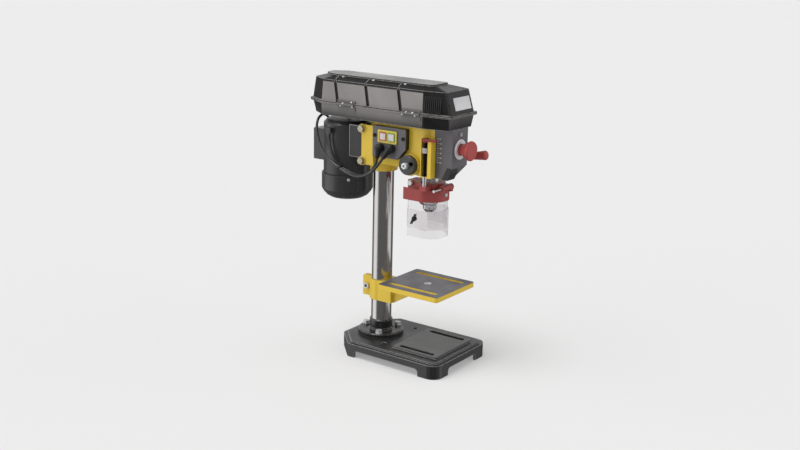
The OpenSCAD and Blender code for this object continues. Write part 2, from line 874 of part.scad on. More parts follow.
module base() {
  color(cast_black) placed() difference() {
    union() {
      prism(base_outline(0), 0, rim_h);
      prism(base_outline(base_step_in), rim_h - eps, base_z);
      prism(rounded_box(work_face_x0, work_face_x1, -work_face_w / 2, work_face_w / 2, 5),
        base_z - eps, base_z + work_face_h);
    }
    prism(base_outline(base_wall), -past, base_z - base_top_t);
    base_foot_cuts();
    for (s = [-1, 1])
      translate([(work_face_x0 + work_face_x1) / 2, s * base_slot_pitch / 2, 0])
        slot_x(base_slot_l, base_slot_w, base_z - base_top_t - past, base_z + work_face_h + past);
    for (s = [-1, 1])
      translate([bolt_hole_x, s * bolt_hole_pitch / 2, 0])
        rod_z(bolt_hole_d, base_z - base_top_t - past, base_z + past);
    flange_bolt_places(base_z)
      rod_z(bolt_d, -base_top_t - past, past);
  }
}

module column_flange() {
  color(cast_black) placed() difference() {
    translate([0, 0, base_z])
      rotate_extrude()
        polygon([
          [column_r, 0], [flange_d / 2, 0], [flange_d / 2, flange_t - flange_edge],
          [flange_d / 2 - flange_edge, flange_t], [neck_r + 3, flange_t], [neck_r, flange_t + 4],
          [neck_r, neck_h - flange_edge],
          [neck_r - flange_edge, neck_h], [column_r, neck_h]
        ]);
    flange_bolt_places(base_z)
      rod_z(bolt_d + bolt_hole_loose, -past, flange_t + 2 * past);
  }
}

module flange_bolts() {
  color(bright_steel) placed() flange_bolt_places(base_z + flange_t)
    hex_bolt(bolt_d, bolt_af, bolt_head_h, flange_t + tap_depth);
}

module column() {
  color(bright_steel) placed()
    ring_z(column_d, column_d - 2 * column_wall, base_z, column_top);
}

// Table

module table_lug(s) {
  translate([lock_x - lug_end, s > 0 ? clamp_gap / 2 : -lug_y, clamp_z0])
    cube([-lock_x + lug_end - column_r - 1, lug_t, clamp_h]);
}

module table() {
  x0 = table_x - table_back;
  x1 = x0 + table_l;
  w = table_w / 2;
  z0 = table_z - table_t;
  color(paint_yellow) placed() difference() {
    union() {
      difference() {
        prism(rounded_box(x0, x1, -w, w, table_corner_r), z0, table_z);
        prism(rounded_box(x0 + table_rim, x1 - table_rim, table_rim - w, w - table_rim, table_corner_r),
          z0 - past, table_z - table_plate_t);
      }
      rod_z(2 * clamp_r, clamp_z0, clamp_z1);
      translate([block_x0, -block_y, clamp_z0])
        cube([x0 - block_x0, 2 * block_y, clamp_h]);
      side_prism([[x0 - 4, clamp_z0], [x0 + 2, clamp_z0], [table_x - 6, z0 - 4],
        [table_x - 6, table_z - 6], [x0 - 4, table_z - 6]], -arm_w / 2, arm_w / 2);
      translate([table_x, 0, 0])
        rod_z(table_hole_d + 16, z0, table_z - eps);
      for (s = [-1, 1])
        table_lug(s);
    }
    rod_z(column_d + 2 * run, clamp_z0 - past, table_z + past);
    translate([-3 * clamp_r, -clamp_gap / 2, clamp_z0 - past])
      cube([3 * clamp_r, clamp_gap, clamp_h + 4 * past]);
    translate([lock_x, 0, lock_z])
      rod_y(lock_d + 2 * run, -lug_y - past, lug_y + past);
    translate([table_x, 0, 0])
      rod_z(table_hole_d, z0 - past, table_z + past);
    for (s = [-1, 1])
      translate([(x0 + x1) / 2, s * table_slot_pitch / 2, 0])
        slot_x(table_slot_l, table_slot_w, z0 - past, table_z + past);
  }
}

module clamp_nut() {
  color(dark_steel) placed() translate([lock_x, -lug_y, lock_z])
    rotate([90, 0, 0])
      difference() {
        hex_z(lock_nut_af, 0, lock_nut_h);
        rod_z(lock_d + 2 * run, -past, lock_nut_h + past);
      }
}

module table_lock_lever() {
  color(cast_black) placed() translate([lock_x, 0, lock_z]) {
    rod_y(lock_d, -lug_y - lock_nut_h + 1, lug_y + gap + eps);
    translate([0, lug_y + gap, 0])
      rod_y(lock_boss_d, 0, lock_boss_l);
    translate([0, lug_y + lock_boss_l - lock_d / 2, 0])
      rotate([0, -lock_lever_angle, 0]) {
        rod_x(lock_d * 0.8, 0, lock_lever_l);
        translate([lock_lever_l, 0, 0])
          sphere(d = lock_d * 1.6);
      }
  }
}

// Head

module slide_bolt_places() {
  for (k = [0, 1])
    translate([-slide_bolt_x, 0, slide_bolt_z0 + k * slide_bolt_pitch])
      children();
}

module depth_channel() {
  translate([channel_x0, -channel_y, head_z + 1])
    cube([channel_x1 - channel_x0, channel_y - cover_w / 2 - 1, channel_h - 1]);
}

module depth_groove() {
  translate([rod_x - groove_w / 2, -channel_y - past, head_z + 1 + channel_lug_h])
    cube([groove_w, channel_y - groove_y + past, channel_h]);
}

// Side plates behind the column socket, with ears for the bolts of the motor bracket
module head_wings() {
  for (s = [0, 1])
    mirror([0, s, 0]) {
      translate([wing_x0, boss_y, wing_z0])
        cube([wing_x1 - wing_x0, wing_t, wing_z1 - wing_z0]);
      slide_bolt_places()
        rod_y(ear_d, boss_y, boss_y + wing_t + ear_t);
    }
  translate([wing_x1 - 10, -boss_y - wing_t, wing_z0])
    cube([10, 2 * (boss_y + wing_t), wing_z1 - wing_z0]);
}

module head_casting() {
  web_z = head_z + arch_h;
  color(paint_yellow) placed() difference() {
    union() {
      rod_z(2 * socket_r, head_z - socket_drop, head_top);
      translate([0, -head_y, web_z])
        cube([spindle_x, head_w, head_top - web_z]);
      translate([spindle_x, 0, 0])
        rod_z(head_w, head_z, head_top);
      translate([spindle_x, -cover_w / 2 - 1, head_z + 1])
        cube([cover_x - spindle_x, cover_w + 2, head_h - 1]);
      depth_channel();
      translate([pinion_x, 0, pinion_z]) {
        rod_y(spring_boss_d, -spring_boss_y, 0);
        rod_y(hub_boss_d, 0, hub_boss_y);
      }
      head_wings();
    }
    translate([cover_x, -cover_w / 2, head_z - past])
      cube([cover_l, cover_w, head_h + 2 * past]);
    depth_groove();
    translate([rod_x, rod_y, 0])
      rod_z(rod_d + 2 * gap, head_z - past, head_z + channel_lug_h + 2 * past);
    rod_z(column_d, head_z - socket_drop - past, column_top);
    translate([spindle_x, 0, 0]) {
      rod_z(quill_d + 2 * run, head_z - past, quill_bore_top);
      rod_z(sleeve_bearing_d, quill_bore_top - eps, head_top + past);
    }
    translate([socket_r + web_wall, web_wall - head_y, web_z - past])
      cube([pinion_x - spring_boss_d / 2 - socket_r - 2 * web_wall, head_w - 2 * web_wall,
        head_top - web_z - web_wall]);
    translate([pinion_x, 0, pinion_z]) {
      rod_y(journal_d + 2 * run, -pinion_w / 2 - 1, hub_boss_y + past);
      rod_y(spring_journal_d + 2 * run, -spring_boss_y - past, 0);
    }
    for (s = [0, 1])
      mirror([0, s, 0])
        slide_bolt_places()
          rod_y(bolt_d, boss_y - past, 2 * boss_y);
    head_set_screw_places()
      rod_y(set_screw_d, column_r - past, boss_y + wing_t + past);
    for (spot = tray_bolt_spots)
      translate([spot.x, spot.y, 0])
        rod_z(tray_bolt_d, head_top - 3 * tray_bolt_d, head_top + past);
  }
}

module head_set_screw_places() {
  for (k = [0, 1])
    translate([-1, 0, head_z + head_h / 2 + (k - 0.5) * set_screw_pitch])
      children();
}

module set_screw() {
  difference() {
    rod_y(set_screw_d, column_r, socket_r - 0.5);
    translate([0, socket_r - 4, 0])
      rotate([-90, 0, 0])
        hex_z(set_screw_d / 2, 0, 4 + past);
  }
}

function cover_profile(t) = [
  [cover_x, head_z + t], [cover_x1 - slope_l - t / 2, head_z + t],
  [cover_x1 - t, head_z + slope_h + t / 2], [cover_x1 - t, head_top - t], [cover_x, head_top - t]
];

module front_cover() {
  w = cover_w / 2;
  color(paint_grey) placed() difference() {
    side_prism(cover_profile(0), -w, w);
    translate([-past, 0, 0])
      side_prism(cover_profile(cover_wall), cover_wall - w, w - cover_wall);
    lamp_wedge();
    translate([0, 0, estop_z])
      rod_x(estop_hole_d + 2 * gap, cover_x1 - 2 * cover_wall, cover_x1 + past);
    translate([0, 0, cover_screw_z])
      rod_x(screw_d, cover_x1 - 2 * cover_wall, cover_x1 + past);
  }
}

// Wedge-shaped pod of the work lamp, let into the lower corner of the cover
module lamp_wedge() {
  x0 = cover_x1 - slope_l;
  z1 = head_z + slope_h;
  side_prism([
    [x0 + 1, head_z], [x0 + lamp_t + 5, head_z - 1], [cover_x1 - 2, z1 - 10],
    [cover_x1 - 3, z1 - 1], [x0 + lamp_t + 4, z1]
  ], lamp_y0, lamp_y0 + lamp_w);
}

module lamp_pod() {
  color(cast_black) placed()
    lamp_wedge();
}

module pan_screw(shank_l) {
  translate([0, 0, -shank_l])
    cylinder(d = screw_d, h = shank_l + eps);
  difference() {
    cylinder(d = screw_head_d, h = screw_head_h);
    translate([0, 0, screw_head_h / 2])
      hex_z(screw_d * 0.7, 0, screw_head_h);
  }
}

module head_screws() {
  color(dark_steel) placed() {
    head_set_screw_places()
      set_screw();
    translate([cover_x1, 0, cover_screw_z])
      rotate([0, 90, 0])
        pan_screw(cover_wall);
    for (x = plate_screw_xs)
      translate([x, -switch_y1, bezel_z])
        rotate([90, 0, 0])
          pan_screw(plate_t);
  }
}

module estop_ring() {
  color(bright_steel) placed() translate([cover_x1, 0, estop_z])
    rotate([0, 90, 0])
      rotate_extrude()
        polygon([
          [estop_hole_d / 2 + 1, 0], [estop_ring_d / 2, 0],
          [estop_ring_d / 2, estop_ring_t / 2], [estop_ring_d / 2 - 2, estop_ring_t],
          [estop_hole_d / 2 + 2, estop_ring_t]
        ]);
}

module estop_button() {
  r = mushroom_d / 2;
  stem_r = estop_hole_d / 2;
  neck = mushroom_travel + estop_ring_t + 1;
  color(signal_red) placed() translate([cover_x1, 0, estop_z])
    rotate([0, 90, 0])
      rotate_extrude()
        polygon([
          [0, -cover_wall - 4], [stem_r, -cover_wall - 4], [stem_r, neck - 1], [stem_r + 2, neck],
          [r - 1.5, mushroom_l - 8], [r, mushroom_l - 6], [r, mushroom_l - 2.5], [r - 2, mushroom_l],
          [0, mushroom_l]
        ]);
}

// Quill, spindle and drive sleeve

// Involute flank of the pinion, from its root circle to its tip
function involute(base_r, r) =
  let (a = sqrt(max(pow(r / base_r, 2) - 1, 0)))
  a * 180 / PI - atan(a);

module pinion_teeth_2d() {
  base_r = pinion_r * cos(20);
  tip_r = pinion_r + rack_module;
  root_r = pinion_r - 1.25 * rack_module;
  half = 90 / pinion_teeth - 2.2;
  radii = [for (k = [0:4]) base_r + (tip_r - base_r) * k / 4];
  turns = [for (r = radii) half + involute(base_r, pinion_r) - involute(base_r, r)];
  circle(r = root_r);
  for (i = [0:pinion_teeth - 1])
    rotate([0, 0, 360 * i / pinion_teeth])
      polygon(concat(
        [[0, 0], (root_r - 0.2) * [cos(turns[0]), -sin(turns[0])]],
        [for (k = [0:4]) radii[k] * [cos(turns[k]), -sin(turns[k])]],
        [for (k = [4:-1:0]) radii[k] * [cos(turns[k]), sin(turns[k])]],
        [(root_r - 0.2) * [cos(turns[0]), sin(turns[0])]]));
}

module rack_cuts() {
  pitch = PI * rack_module;
  depth = 2.25 * rack_module;
  flank = depth * tan(20);
  mid = pitch / 2 - 2 * rack_module * tan(20);
  for (i = [-1:rack_teeth_n - 1])
    translate([-rack_x, 0, pinion_z + (i + 0.5 - 0.5) * pitch])
      side_prism([[-past, -mid / 2 - flank - past * tan(20)], [depth, -mid / 2],
        [depth, mid / 2], [-past, mid / 2 + flank + past * tan(20)]], -pinion_w / 2 - 1, pinion_w / 2 + 1);
}

module quill() {
  bore_r = spindle_d / 2 + 3;
  color(bright_steel) placed() translate([spindle_x, 0, 0])
    difference() {
      rod_z(quill_d, quill_z0, quill_z1);
      rod_z(2 * bore_r, quill_z0 - past, quill_z1 + past);
      rod_z(quill_bearing_d, quill_z0 - past, quill_z0 + bearing_w);
      rod_z(quill_bearing_d, quill_z1 - bearing_w, quill_z1 + past);
      translate([-2 * quill_r - rack_x, -quill_r, rack_z0])
        cube([2 * quill_r, quill_d, quill_l]);
      rack_cuts();
    }
}

module bearing(d, bore, z0) {
  translate([0, 0, z0])
    rotate_extrude()
      polygon([
        [bore / 2, 0], [bore / 2 + bearing_wall, 0], [bore / 2 + bearing_wall, 1],
        [d / 2 - bearing_wall, 1], [d / 2 - bearing_wall, 0], [d / 2, 0],
        [d / 2, bearing_w], [d / 2 - bearing_wall, bearing_w], [d / 2 - bearing_wall, bearing_w - 1],
        [bore / 2 + bearing_wall, bearing_w - 1], [bore / 2 + bearing_wall, bearing_w],
        [bore / 2, bearing_w]
      ]);
}

module quill_bearings() {
  color(bright_steel) placed() translate([spindle_x, 0, 0])
    for (z = [quill_z0, quill_z1 - bearing_w])
      bearing(quill_bearing_d, spindle_d + 2 * run, z);
}

module spline_section(extra) {
  circle(r = spline_r + extra);
  for (k = [0:splines_n - 1])
    rotate([0, 0, 360 * k / splines_n])
      translate([0, -spline_w / 2 - extra])
        square([spindle_d / 2 + extra, spline_w + 2 * extra]);
}

module spindle() {
  color(bright_steel) placed() translate([spindle_x, 0, 0]) {
    translate([0, 0, chuck_z1 - taper_l])
      cylinder(r1 = taper_r0, r2 = taper_r1, h = taper_l);
    rod_z(2 * spindle_shoulder_r, chuck_z1 - eps, quill_z0 - gap);
    rod_z(spindle_d, quill_z0 - gap - eps, quill_z1);
    translate([0, 0, quill_z1 - eps])
      linear_extrude(spindle_z1 - quill_z1)
        spline_section(0);
  }
}

module drive_sleeve() {
  color(dark_steel) placed() translate([spindle_x, 0, 0])
    difference() {
      union() {
        rod_z(sleeve_d, sleeve_z0, sleeve_z1);
        hex_z(sleeve_d + 7, pulley_z + pulley_h, pulley_z + pulley_h + 3);
      }
      translate([0, 0, sleeve_z0 - past])
        linear_extrude(sleeve_z1 - sleeve_z0 + 2 * past)
          spline_section(2 * run);
    }
}

module sleeve_bearings() {
  color(bright_steel) placed() translate([spindle_x, 0, 0])
    for (k = [0, 1])
      bearing(sleeve_bearing_d, sleeve_d + 2 * run, head_top - (k + 1) * bearing_w - k);
}

// Chuck

function jaw_tip(k) = [jaw_r * cos(120 * k), jaw_r * sin(120 * k), chuck_z0];

module jaw_channel(k, d, l, extra) {
  translate(jaw_tip(k))
    rotate([0, jaw_slope, 120 * k])
      rotate([0, 0, 90])
        rod_z(d, -extra, l);
}

module chuck_body() {
  nose_r = chuck_d / 2 - 2;
  color(bright_steel) placed() translate([spindle_x, 0, 0])
    difference() {
      rotate_extrude()
        polygon([
          [0, chuck_z0], [chuck_nose_d / 2 - 1, chuck_z0], [chuck_nose_d / 2, chuck_z0 + 1],
          [nose_r, chuck_z0 + 7], [nose_r, chuck_sleeve_z0 - gap],
          [chuck_core_r, chuck_sleeve_z0 - gap], [chuck_core_r, chuck_z1 - 4],
          [chuck_core_r - 4, chuck_z1], [0, chuck_z1]
        ]);
      translate([0, 0, chuck_z1 - taper_l])
        cylinder(r1 = taper_r0, r2 = taper_r1, h = taper_l + eps);
      rod_z(2 * chuck_bore_r, chuck_z0 - past, chuck_z1 - taper_l + eps);
      for (k = [0:2])
        jaw_channel(k, jaw_d + 2 * gap, jaw_l + 3, 3);
      for (k = [0:2])
        rotate([0, 0, 60 + 120 * k])
          translate([0, 0, chuck_sleeve_z0 - 6])
            rod_x(4, chuck_core_r - 6, chuck_d);
    }
}

module chuck_sleeve() {
  r = chuck_d / 2;
  color(bright_steel) placed() translate([spindle_x, 0, 0])
    difference() {
      rotate_extrude()
        polygon([
          [chuck_core_r + run, chuck_sleeve_z0], [r - 2, chuck_sleeve_z0], [r, chuck_sleeve_z0 + 3],
          [r, chuck_sleeve_z1 - 1.5], [r - 1.5, chuck_sleeve_z1], [chuck_core_r + run, chuck_sleeve_z1]
        ]);
      for (k = [0:chuck_teeth_n - 1])
        rotate([0, 0, 360 * k / chuck_teeth_n])
          translate([r - 2.5, -1.2, chuck_sleeve_z0 - past])
            cube([5, 2.4, past + 5]);
    }
}

module chuck_jaw(k) {
  color(dark_steel) placed() translate([spindle_x, 0, 0])
    difference() {
      jaw_channel(k, jaw_d, jaw_l, 1);
      translate([-chuck_d, -chuck_d, chuck_z0 - chuck_d])
        cube([2 * chuck_d, 2 * chuck_d, chuck_d]);
      rotate([0, 0, 120 * k])
        translate([jaw_r - jaw_d / 2 - 4, -jaw_d, chuck_z0 - past])
          cube([4.6, 2 * jaw_d, 12]);
    }
}

// Feed

module pinion_shaft() {
  color(bright_steel) placed() translate([pinion_x, 0, pinion_z]) {
    rotate([90, 0, 0])
      translate([0, 0, -pinion_w / 2])
        linear_extrude(pinion_w)
          pinion_teeth_2d();
    rod_y(2 * pinion_r - 3 * rack_module, pinion_w / 2 - eps, journal_y + eps);
    rod_y(journal_d, journal_y, hub_boss_y - 1);
    rod_y(journal_d - 6, hub_boss_y - 1 - eps, hub_y1);
    rod_y(spring_journal_d, -shaft_end_y, -pinion_w / 2 + eps);
  }
}

module spoke_places() {
  for (k = [0:spokes_n - 1])
    translate([pinion_x, spoke_y, pinion_z])
      rotate([0, -spoke_angle - 360 * k / spokes_n, 0])
        rotate([0, 0, spoke_tilt])
          children();
}

module feed_hub() {
  color(cast_black) placed() difference() {
    translate([pinion_x, 0, pinion_z])
      rotate([-90, 0, 0])
        rotate_extrude()
          polygon([
            [0, hub_y0], [hub_boss_d / 2 - 1, hub_y0], [hub_d / 2, hub_y0 + 5],
            [hub_d / 2, hub_y1 - 6], [hub_d / 2 - 6, hub_y1 + 2], [0, hub_y1 + 2]
          ]);
    translate([pinion_x, 0, pinion_z])
      rod_y(journal_d - 6, hub_y0 - past, hub_y1);
    spoke_places()
      rod_x(spoke_d, spoke_r0, hub_d);
  }
}

module feed_spokes() {
  color(bright_steel) placed() spoke_places()
    rod_x(spoke_d, spoke_r0, spoke_r1);
}

module feed_knobs() {
  r0 = knob_neck_d / 2;
  r1 = knob_d / 2;
  x0 = handle_r - knob_l;
  color(signal_red) placed() spoke_places()
    rotate([0, 90, 0])
      rotate_extrude()
        polygon([
          [spoke_d / 2, x0], [r0, x0], [r0 + 0.4, x0 + 3], [r1 - 0.4, handle_r - 8],
          [r1, handle_r - 5], [r1 - 2, handle_r - 1.5], [r1 - 6, handle_r], [0, handle_r],
          [0, spoke_r1], [spoke_d / 2, spoke_r1]
        ]);
}

module spring_cap() {
  color(cast_black) placed() translate([pinion_x, 0, pinion_z])
    rotate([90, 0, 0])
      rotate_extrude()
        polygon([
          [spring_cap_d / 2 - cap_wall, spring_boss_y], [spring_cap_d / 2, spring_boss_y],
          [spring_cap_d / 2, spring_boss_y + spring_cap_l - 2],
          [spring_cap_d / 2 - 2, spring_boss_y + spring_cap_l],
          [spring_journal_d / 2 + run, spring_boss_y + spring_cap_l],
          [spring_journal_d / 2 + run, spring_boss_y + spring_cap_l - cap_wall],
          [spring_cap_d / 2 - cap_wall, spring_boss_y + spring_cap_l - cap_wall]
        ]);
}

// Flat spiral strip between the shaft and the cap's wall
module return_spring() {
  steps = 24 * spring_turns;
  function spiral(i, side) =
    let (r = spring_r0 + (spring_r1 - spring_r0) * i / steps + side * spring_strip)
    r * [cos(15 * i), sin(15 * i)];
  color(dark_steel) placed() translate([pinion_x, -spring_boss_y - gap, pinion_z])
    rotate([90, 0, 0])
      linear_extrude(spring_cap_l - cap_wall - 2 * gap)
        polygon(concat([for (i = [0:steps]) spiral(i, 0)], [for (i = [steps:-1:0]) spiral(i, 1)]));
}

// Depth stop

module depth_rod() {
  color(dark_steel) placed() translate([rod_x, rod_y, 0])
    rod_z(rod_d, rod_arm_z + 1, rod_z1);
}

module depth_nuts() {
  color(bright_steel) placed() translate([rod_x, rod_y, 0])
    difference() {
      for (k = [0, 1])
        rotate([0, 0, 30])
          hex_z(nut_af, nut_z + k * (nut_h + 0.4), nut_z + k * (nut_h + 0.4) + nut_h);
      rod_z(rod_d + 2 * run, nut_z - past, nut_z + 3 * nut_h);
    }
}

module depth_pointer() {
  reach = channel_x1 - rod_x + 16;
  face_y = -channel_y - rod_y - gap;
  color(signal_red) placed() translate([rod_x, rod_y, 0])
    difference() {
      union() {
        rod_z(rod_d + 5, rod_z1 - pointer_h, rod_z1 + 2);
        prism([[0, 0], [0, face_y - pointer_t], [reach - 5, face_y - pointer_t],
          [reach, face_y - pointer_t / 2], [reach - 5, face_y], [rod_d / 2 + 1, face_y],
          [rod_d / 2 + 1, 0]], rod_z1 - 3.5, rod_z1 + 1.5);
      }
      rod_z(rod_d, rod_z1 - pointer_h - past, rod_z1);
    }
}

// Guard

module guard_collar() {
  color(signal_red) placed() difference() {
    union() {
      translate([spindle_x, 0, 0])
        rod_z(2 * collar_r, collar_z0, collar_z1);
      translate([spindle_x - collar_r - collar_ear_l, -collar_ear_w, collar_z0 + 2])
        cube([collar_ear_l + collar_wall, 2 * collar_ear_w, collar_h - 2]);
      translate([rod_x - 8, rod_y - 7, rod_arm_z])
        cube([16, -rod_y - quill_r + 1, collar_z1 - 2 - rod_arm_z]);
      translate([guard_pin_px, 0, guard_pin_z])
        rod_y(guard_knuckle_d, -guard_lug_w / 2, guard_lug_w / 2);
      translate([spindle_x + quill_r + 4, -guard_lug_w / 2, guard_pin_z - guard_knuckle_d / 2])
        cube([guard_pin_x - quill_r - 4, guard_lug_w, guard_knuckle_d]);
    }
    translate([spindle_x, 0, 0])
      rod_z(quill_d, collar_z0 - past, collar_z1 + past);
    translate([spindle_x - 2 * collar_r, -1.5, collar_z0 - past])
      cube([2 * collar_r - quill_r + 1, 3, collar_h + 4 * past]);
    translate([rod_x, rod_y, 0])
      rod_z(rod_d, rod_arm_z + 1, collar_z1 + past);
    translate([guard_pin_px, 0, guard_pin_z])
      rod_y(guard_pin_d, -guard_lug_w, guard_lug_w);
    translate([collar_bolt_x, 0, collar_bolt_z - 2])
      rod_y(collar_bolt_d, -collar_ear_w - past, collar_ear_w + past);
  }
}

module collar_bolt() {
  color(bright_steel) placed() translate([collar_bolt_x, -collar_ear_w, collar_bolt_z - 2])
    rotate([90, 0, 0])
      hex_bolt(collar_bolt_d, 10, 4, 2 * collar_ear_w);
}

module guard_hinge_pin() {
  color(bright_steel) placed() translate([guard_pin_px, 0, guard_pin_z])
    rod_y(guard_pin_d, guard_pin_y0, guard_pin_y1);
}

module guard_frame() {
  y0 = guard_lug_w / 2 + gap;
  color(signal_red) placed() difference() {
    union() {
      guard_band(guard_r, guard_t, guard_back, guard_z0, guard_z1);
      for (s = [0, 1])
        mirror([0, s, 0]) {
          translate([guard_pin_px, 0, guard_pin_z])
            rod_y(guard_knuckle_d, y0, y0 + guard_knuckle_w);
          translate([guard_pin_px - guard_knuckle_d / 2, y0, guard_z1 - 6])
            cube([guard_knuckle_d - 2, guard_knuckle_w, guard_pin_z - guard_z1 + 6]);
        }
    }
    translate([guard_pin_px, 0, guard_pin_z])
      rod_y(guard_pin_d + 2 * run, -guard_r, guard_r);
    translate([spindle_x, 0, 0])
      rod_z(2 * (guard_r - shield_t), guard_z0 - past, guard_z1 - eps);
    translate([spindle_x, -y0, guard_pin_z - guard_knuckle_d / 2 - 2 * gap])
      cube([2 * guard_r, 2 * y0, guard_knuckle_d]);
  }
}

module upper_shield() {
  color(clear_plastic, 0.4) placed() difference() {
    guard_band(guard_r - shield_t, shield_t, shield_back, upper_z0, guard_z1 - 6 - gap);
    translate([wing_x, 0, wing_z])
      rod_y(wing_d, -guard_r - past, -guard_r + shield_t + past);
  }
}

module lower_shield() {
  color(clear_plastic, 0.4) placed() difference() {
    guard_band(lower_r, shield_t, shield_back, lower_z0, lower_z1);
    translate([wing_x, -lower_r - shield_t - past, wing_z])
      rotate([-90, 0, 0])
        rotate([0, 0, 90])
          translate([-shield_travel / 2, 0, 0])
            slot_x(shield_travel + wing_d + 2 * gap, wing_d + 2 * gap, 0, shield_t + 2 * past);
  }
}

module wing_screw() {
  head_y0 = -lower_r - shield_t - gap;
  color(cast_black) placed() translate([wing_x, 0, wing_z]) {
    rod_y(wing_d, head_y0 - eps, -guard_r + shield_t);
    rod_y(wing_d + 6, head_y0 - 5, head_y0);
    translate([0, head_y0 - 5, 0])
      rotate([0, 25, 0])
        for (s = [-1, 1])
          translate([-1.2, -5, s > 0 ? 2 : -12])
            cube([2.4, 8, 10]);
  }
}

// Belt housing

module seam_lip(z0, z1) {
  difference() {
    prism(housing_outline(seam_corners, -lip_w), z0, z1);
    prism(housing_outline(seam_corners, eps), z0 - past, z1 + past);
    for (x = hinge_xs)
      translate([x - hinge_notch / 2, -housing_hw - 2 * lip_w, z0 - past])
        cube([hinge_notch, 2 * lip_w, z1 - z0 + 2 * past]);
  }
}

module belt_tray() {
  color(cast_black) placed() difference() {
    union() {
      difference() {
        loft([housing_outline(tray_corners, 0), housing_outline(seam_corners, 0)], [tray_z, seam_z]);
        loft([housing_outline(tray_corners, tray_t), housing_outline(seam_corners, tray_t)],
          [floor_z, seam_z + eps]);
      }
      seam_lip(seam_z - lip_t, seam_z);
    }
    translate([spindle_x, 0, 0])
      rod_z(sleeve_bearing_d - 4, tray_z - past, floor_z + past);
    translate([-motor_x + motor_travel / 2, 0, 0])
      slot_x(44 + motor_travel, 44, tray_z - past, floor_z + past);
    for (spot = tray_bolt_spots)
      translate([spot.x, spot.y, 0])
        rod_z(tray_bolt_d, tray_z - past, floor_z + past);
  }
}

module tray_bolts() {
  color(bright_steel) placed() for (spot = tray_bolt_spots)
    translate([spot.x, spot.y, floor_z])
      hex_bolt(tray_bolt_d, 10, 3, tray_floor_t + 2 * tray_bolt_d);
}

module panel_groove(x, side) {
  w = panel_groove_w / 2;
  mirror([0, side, 0])
    loft([
      box_outline(x - w, x + w, -housing_hw - past, panel_groove_d - housing_hw),
      box_outline(x - w + panel_lean_x, x + w + panel_lean_x,
        -housing_hw - past, panel_groove_d + lid_lean - housing_hw)
    ], [lid_z + lip_t, lid_top_z + past]);
}

module lid_form(d) {
  loft([
    housing_outline(seam_corners, d), housing_outline(side_corners, d), housing_outline(roof_corners, d)
  ], [lid_z - (d > 0 ? past : 0), lid_top_z - d / 2, roof_z - d]);
}

module belt_lid() {
  color(cast_black) placed() union() {
    difference() {
      lid_form(0);
      lid_form(lid_wall);
      for (x = panel_xs)
        for (side = [0, 1])
          panel_groove(x, side);
    }
    prism(rounded(plate_corners, [for (c = plate_corners) 3]), roof_z - 2.5, roof_z + roof_plate_t);
    seam_lip(lid_z, lid_z + lip_t);
  }
}

module hinge_knuckles(bore) {
  difference() {
    children();
    rod_x(bore, -hinge_l, hinge_l);
  }
}

module hinge_leaf(z0, z1) {
  translate([-hinge_l / 2, -housing_hw - hinge_leaf_t - hinge_axis_y, z0 - hinge_axis_z])
    cube([hinge_l, hinge_leaf_t, z1 - z0]);
}

module hinge_arm(x0, x1, z0, z1) {
  translate([x0, 0, z0])
    cube([x1 - x0, -housing_hw - hinge_axis_y, z1 - z0]);
}

module lid_hinge_leaves() {
  color(cast_black) placed() for (x = hinge_xs)
    translate([x, hinge_axis_y, hinge_axis_z])
      hinge_knuckles(hinge_pin_d + 2 * run) {
        union() {
          hinge_leaf(lid_z + 0.2, lid_z + hinge_leaf_h);
          rod_x(hinge_d, -hinge_knuckle_l / 2 + gap, hinge_knuckle_l / 2 - gap);
          hinge_arm(-hinge_knuckle_l / 2 + gap, hinge_knuckle_l / 2 - gap, gap, hinge_d / 2);
        }
      }
}

module tray_hinge_leaves() {
  color(cast_black) placed() for (x = hinge_xs)
    translate([x, hinge_axis_y, hinge_axis_z]) {
      hinge_leaf(seam_z - tray_leaf_h, seam_z - 0.2);
      for (s = [0, 1])
        mirror([s, 0, 0]) {
          rod_x(hinge_d, hinge_knuckle_l / 2, hinge_l / 2);
          hinge_arm(hinge_knuckle_l / 2, hinge_l / 2, -hinge_d / 2, -gap);
        }
      rod_x(hinge_pin_d, -hinge_l / 2, hinge_l / 2);
    }
}

// Pulleys and belt

function step_r(k) = (step_d + step_growth * k) / 2;

// Stepped pulley with one V groove per step, growing upwards
module stepped_pulley(bore) {
  lip = (step_h - belt_w) / 2 - gap;
  cut = (belt_w + 2 * gap) / 2;
  depth = belt_t + 1;
  difference() {
    rotate_extrude()
      polygon(concat(
        [[bore / 2, 0]],
        [for (k = [0:steps_n - 1]) each let (r = step_r(k), z = k * step_h, m = z + step_h / 2) [
          [r, z], [r, m - cut], [r - depth, m - cut + depth * tan(belt_flank)],
          [r - depth, m + cut - depth * tan(belt_flank)], [r, m + cut], [r, z + step_h]
        ]],
        [[bore / 2, steps_n * step_h]]));
  }
}

module spindle_pulley() {
  color(bright_steel) placed() translate([spindle_x, 0, pulley_z + pulley_h])
    mirror([0, 0, 1])
      stepped_pulley(sleeve_d);
}

module motor_pulley() {
  color(bright_steel) placed() translate([-motor_x, 0, pulley_z])
    stepped_pulley(motor_shaft_d);
}

// Belt's line seen from above, moved out by off
function belt_loop(off) =
  let (
    big_r = step_r(steps_n - 1 - belt_step),
    small_r = step_r(belt_step),
    lean = asin((big_r - small_r) / (spindle_x + motor_x)),
    n = belt_facets
  )
  concat(
    [for (i = [0:n]) let (a = (90 + lean) * (2 * i / n - 1))
      [spindle_x + (big_r + off) * cos(a), (big_r + off) * sin(a)]],
    [for (i = [0:n]) let (a = 90 + lean + (180 - 2 * lean) * i / n)
      [(small_r + off) * cos(a) - motor_x, (small_r + off) * sin(a)]]
  );

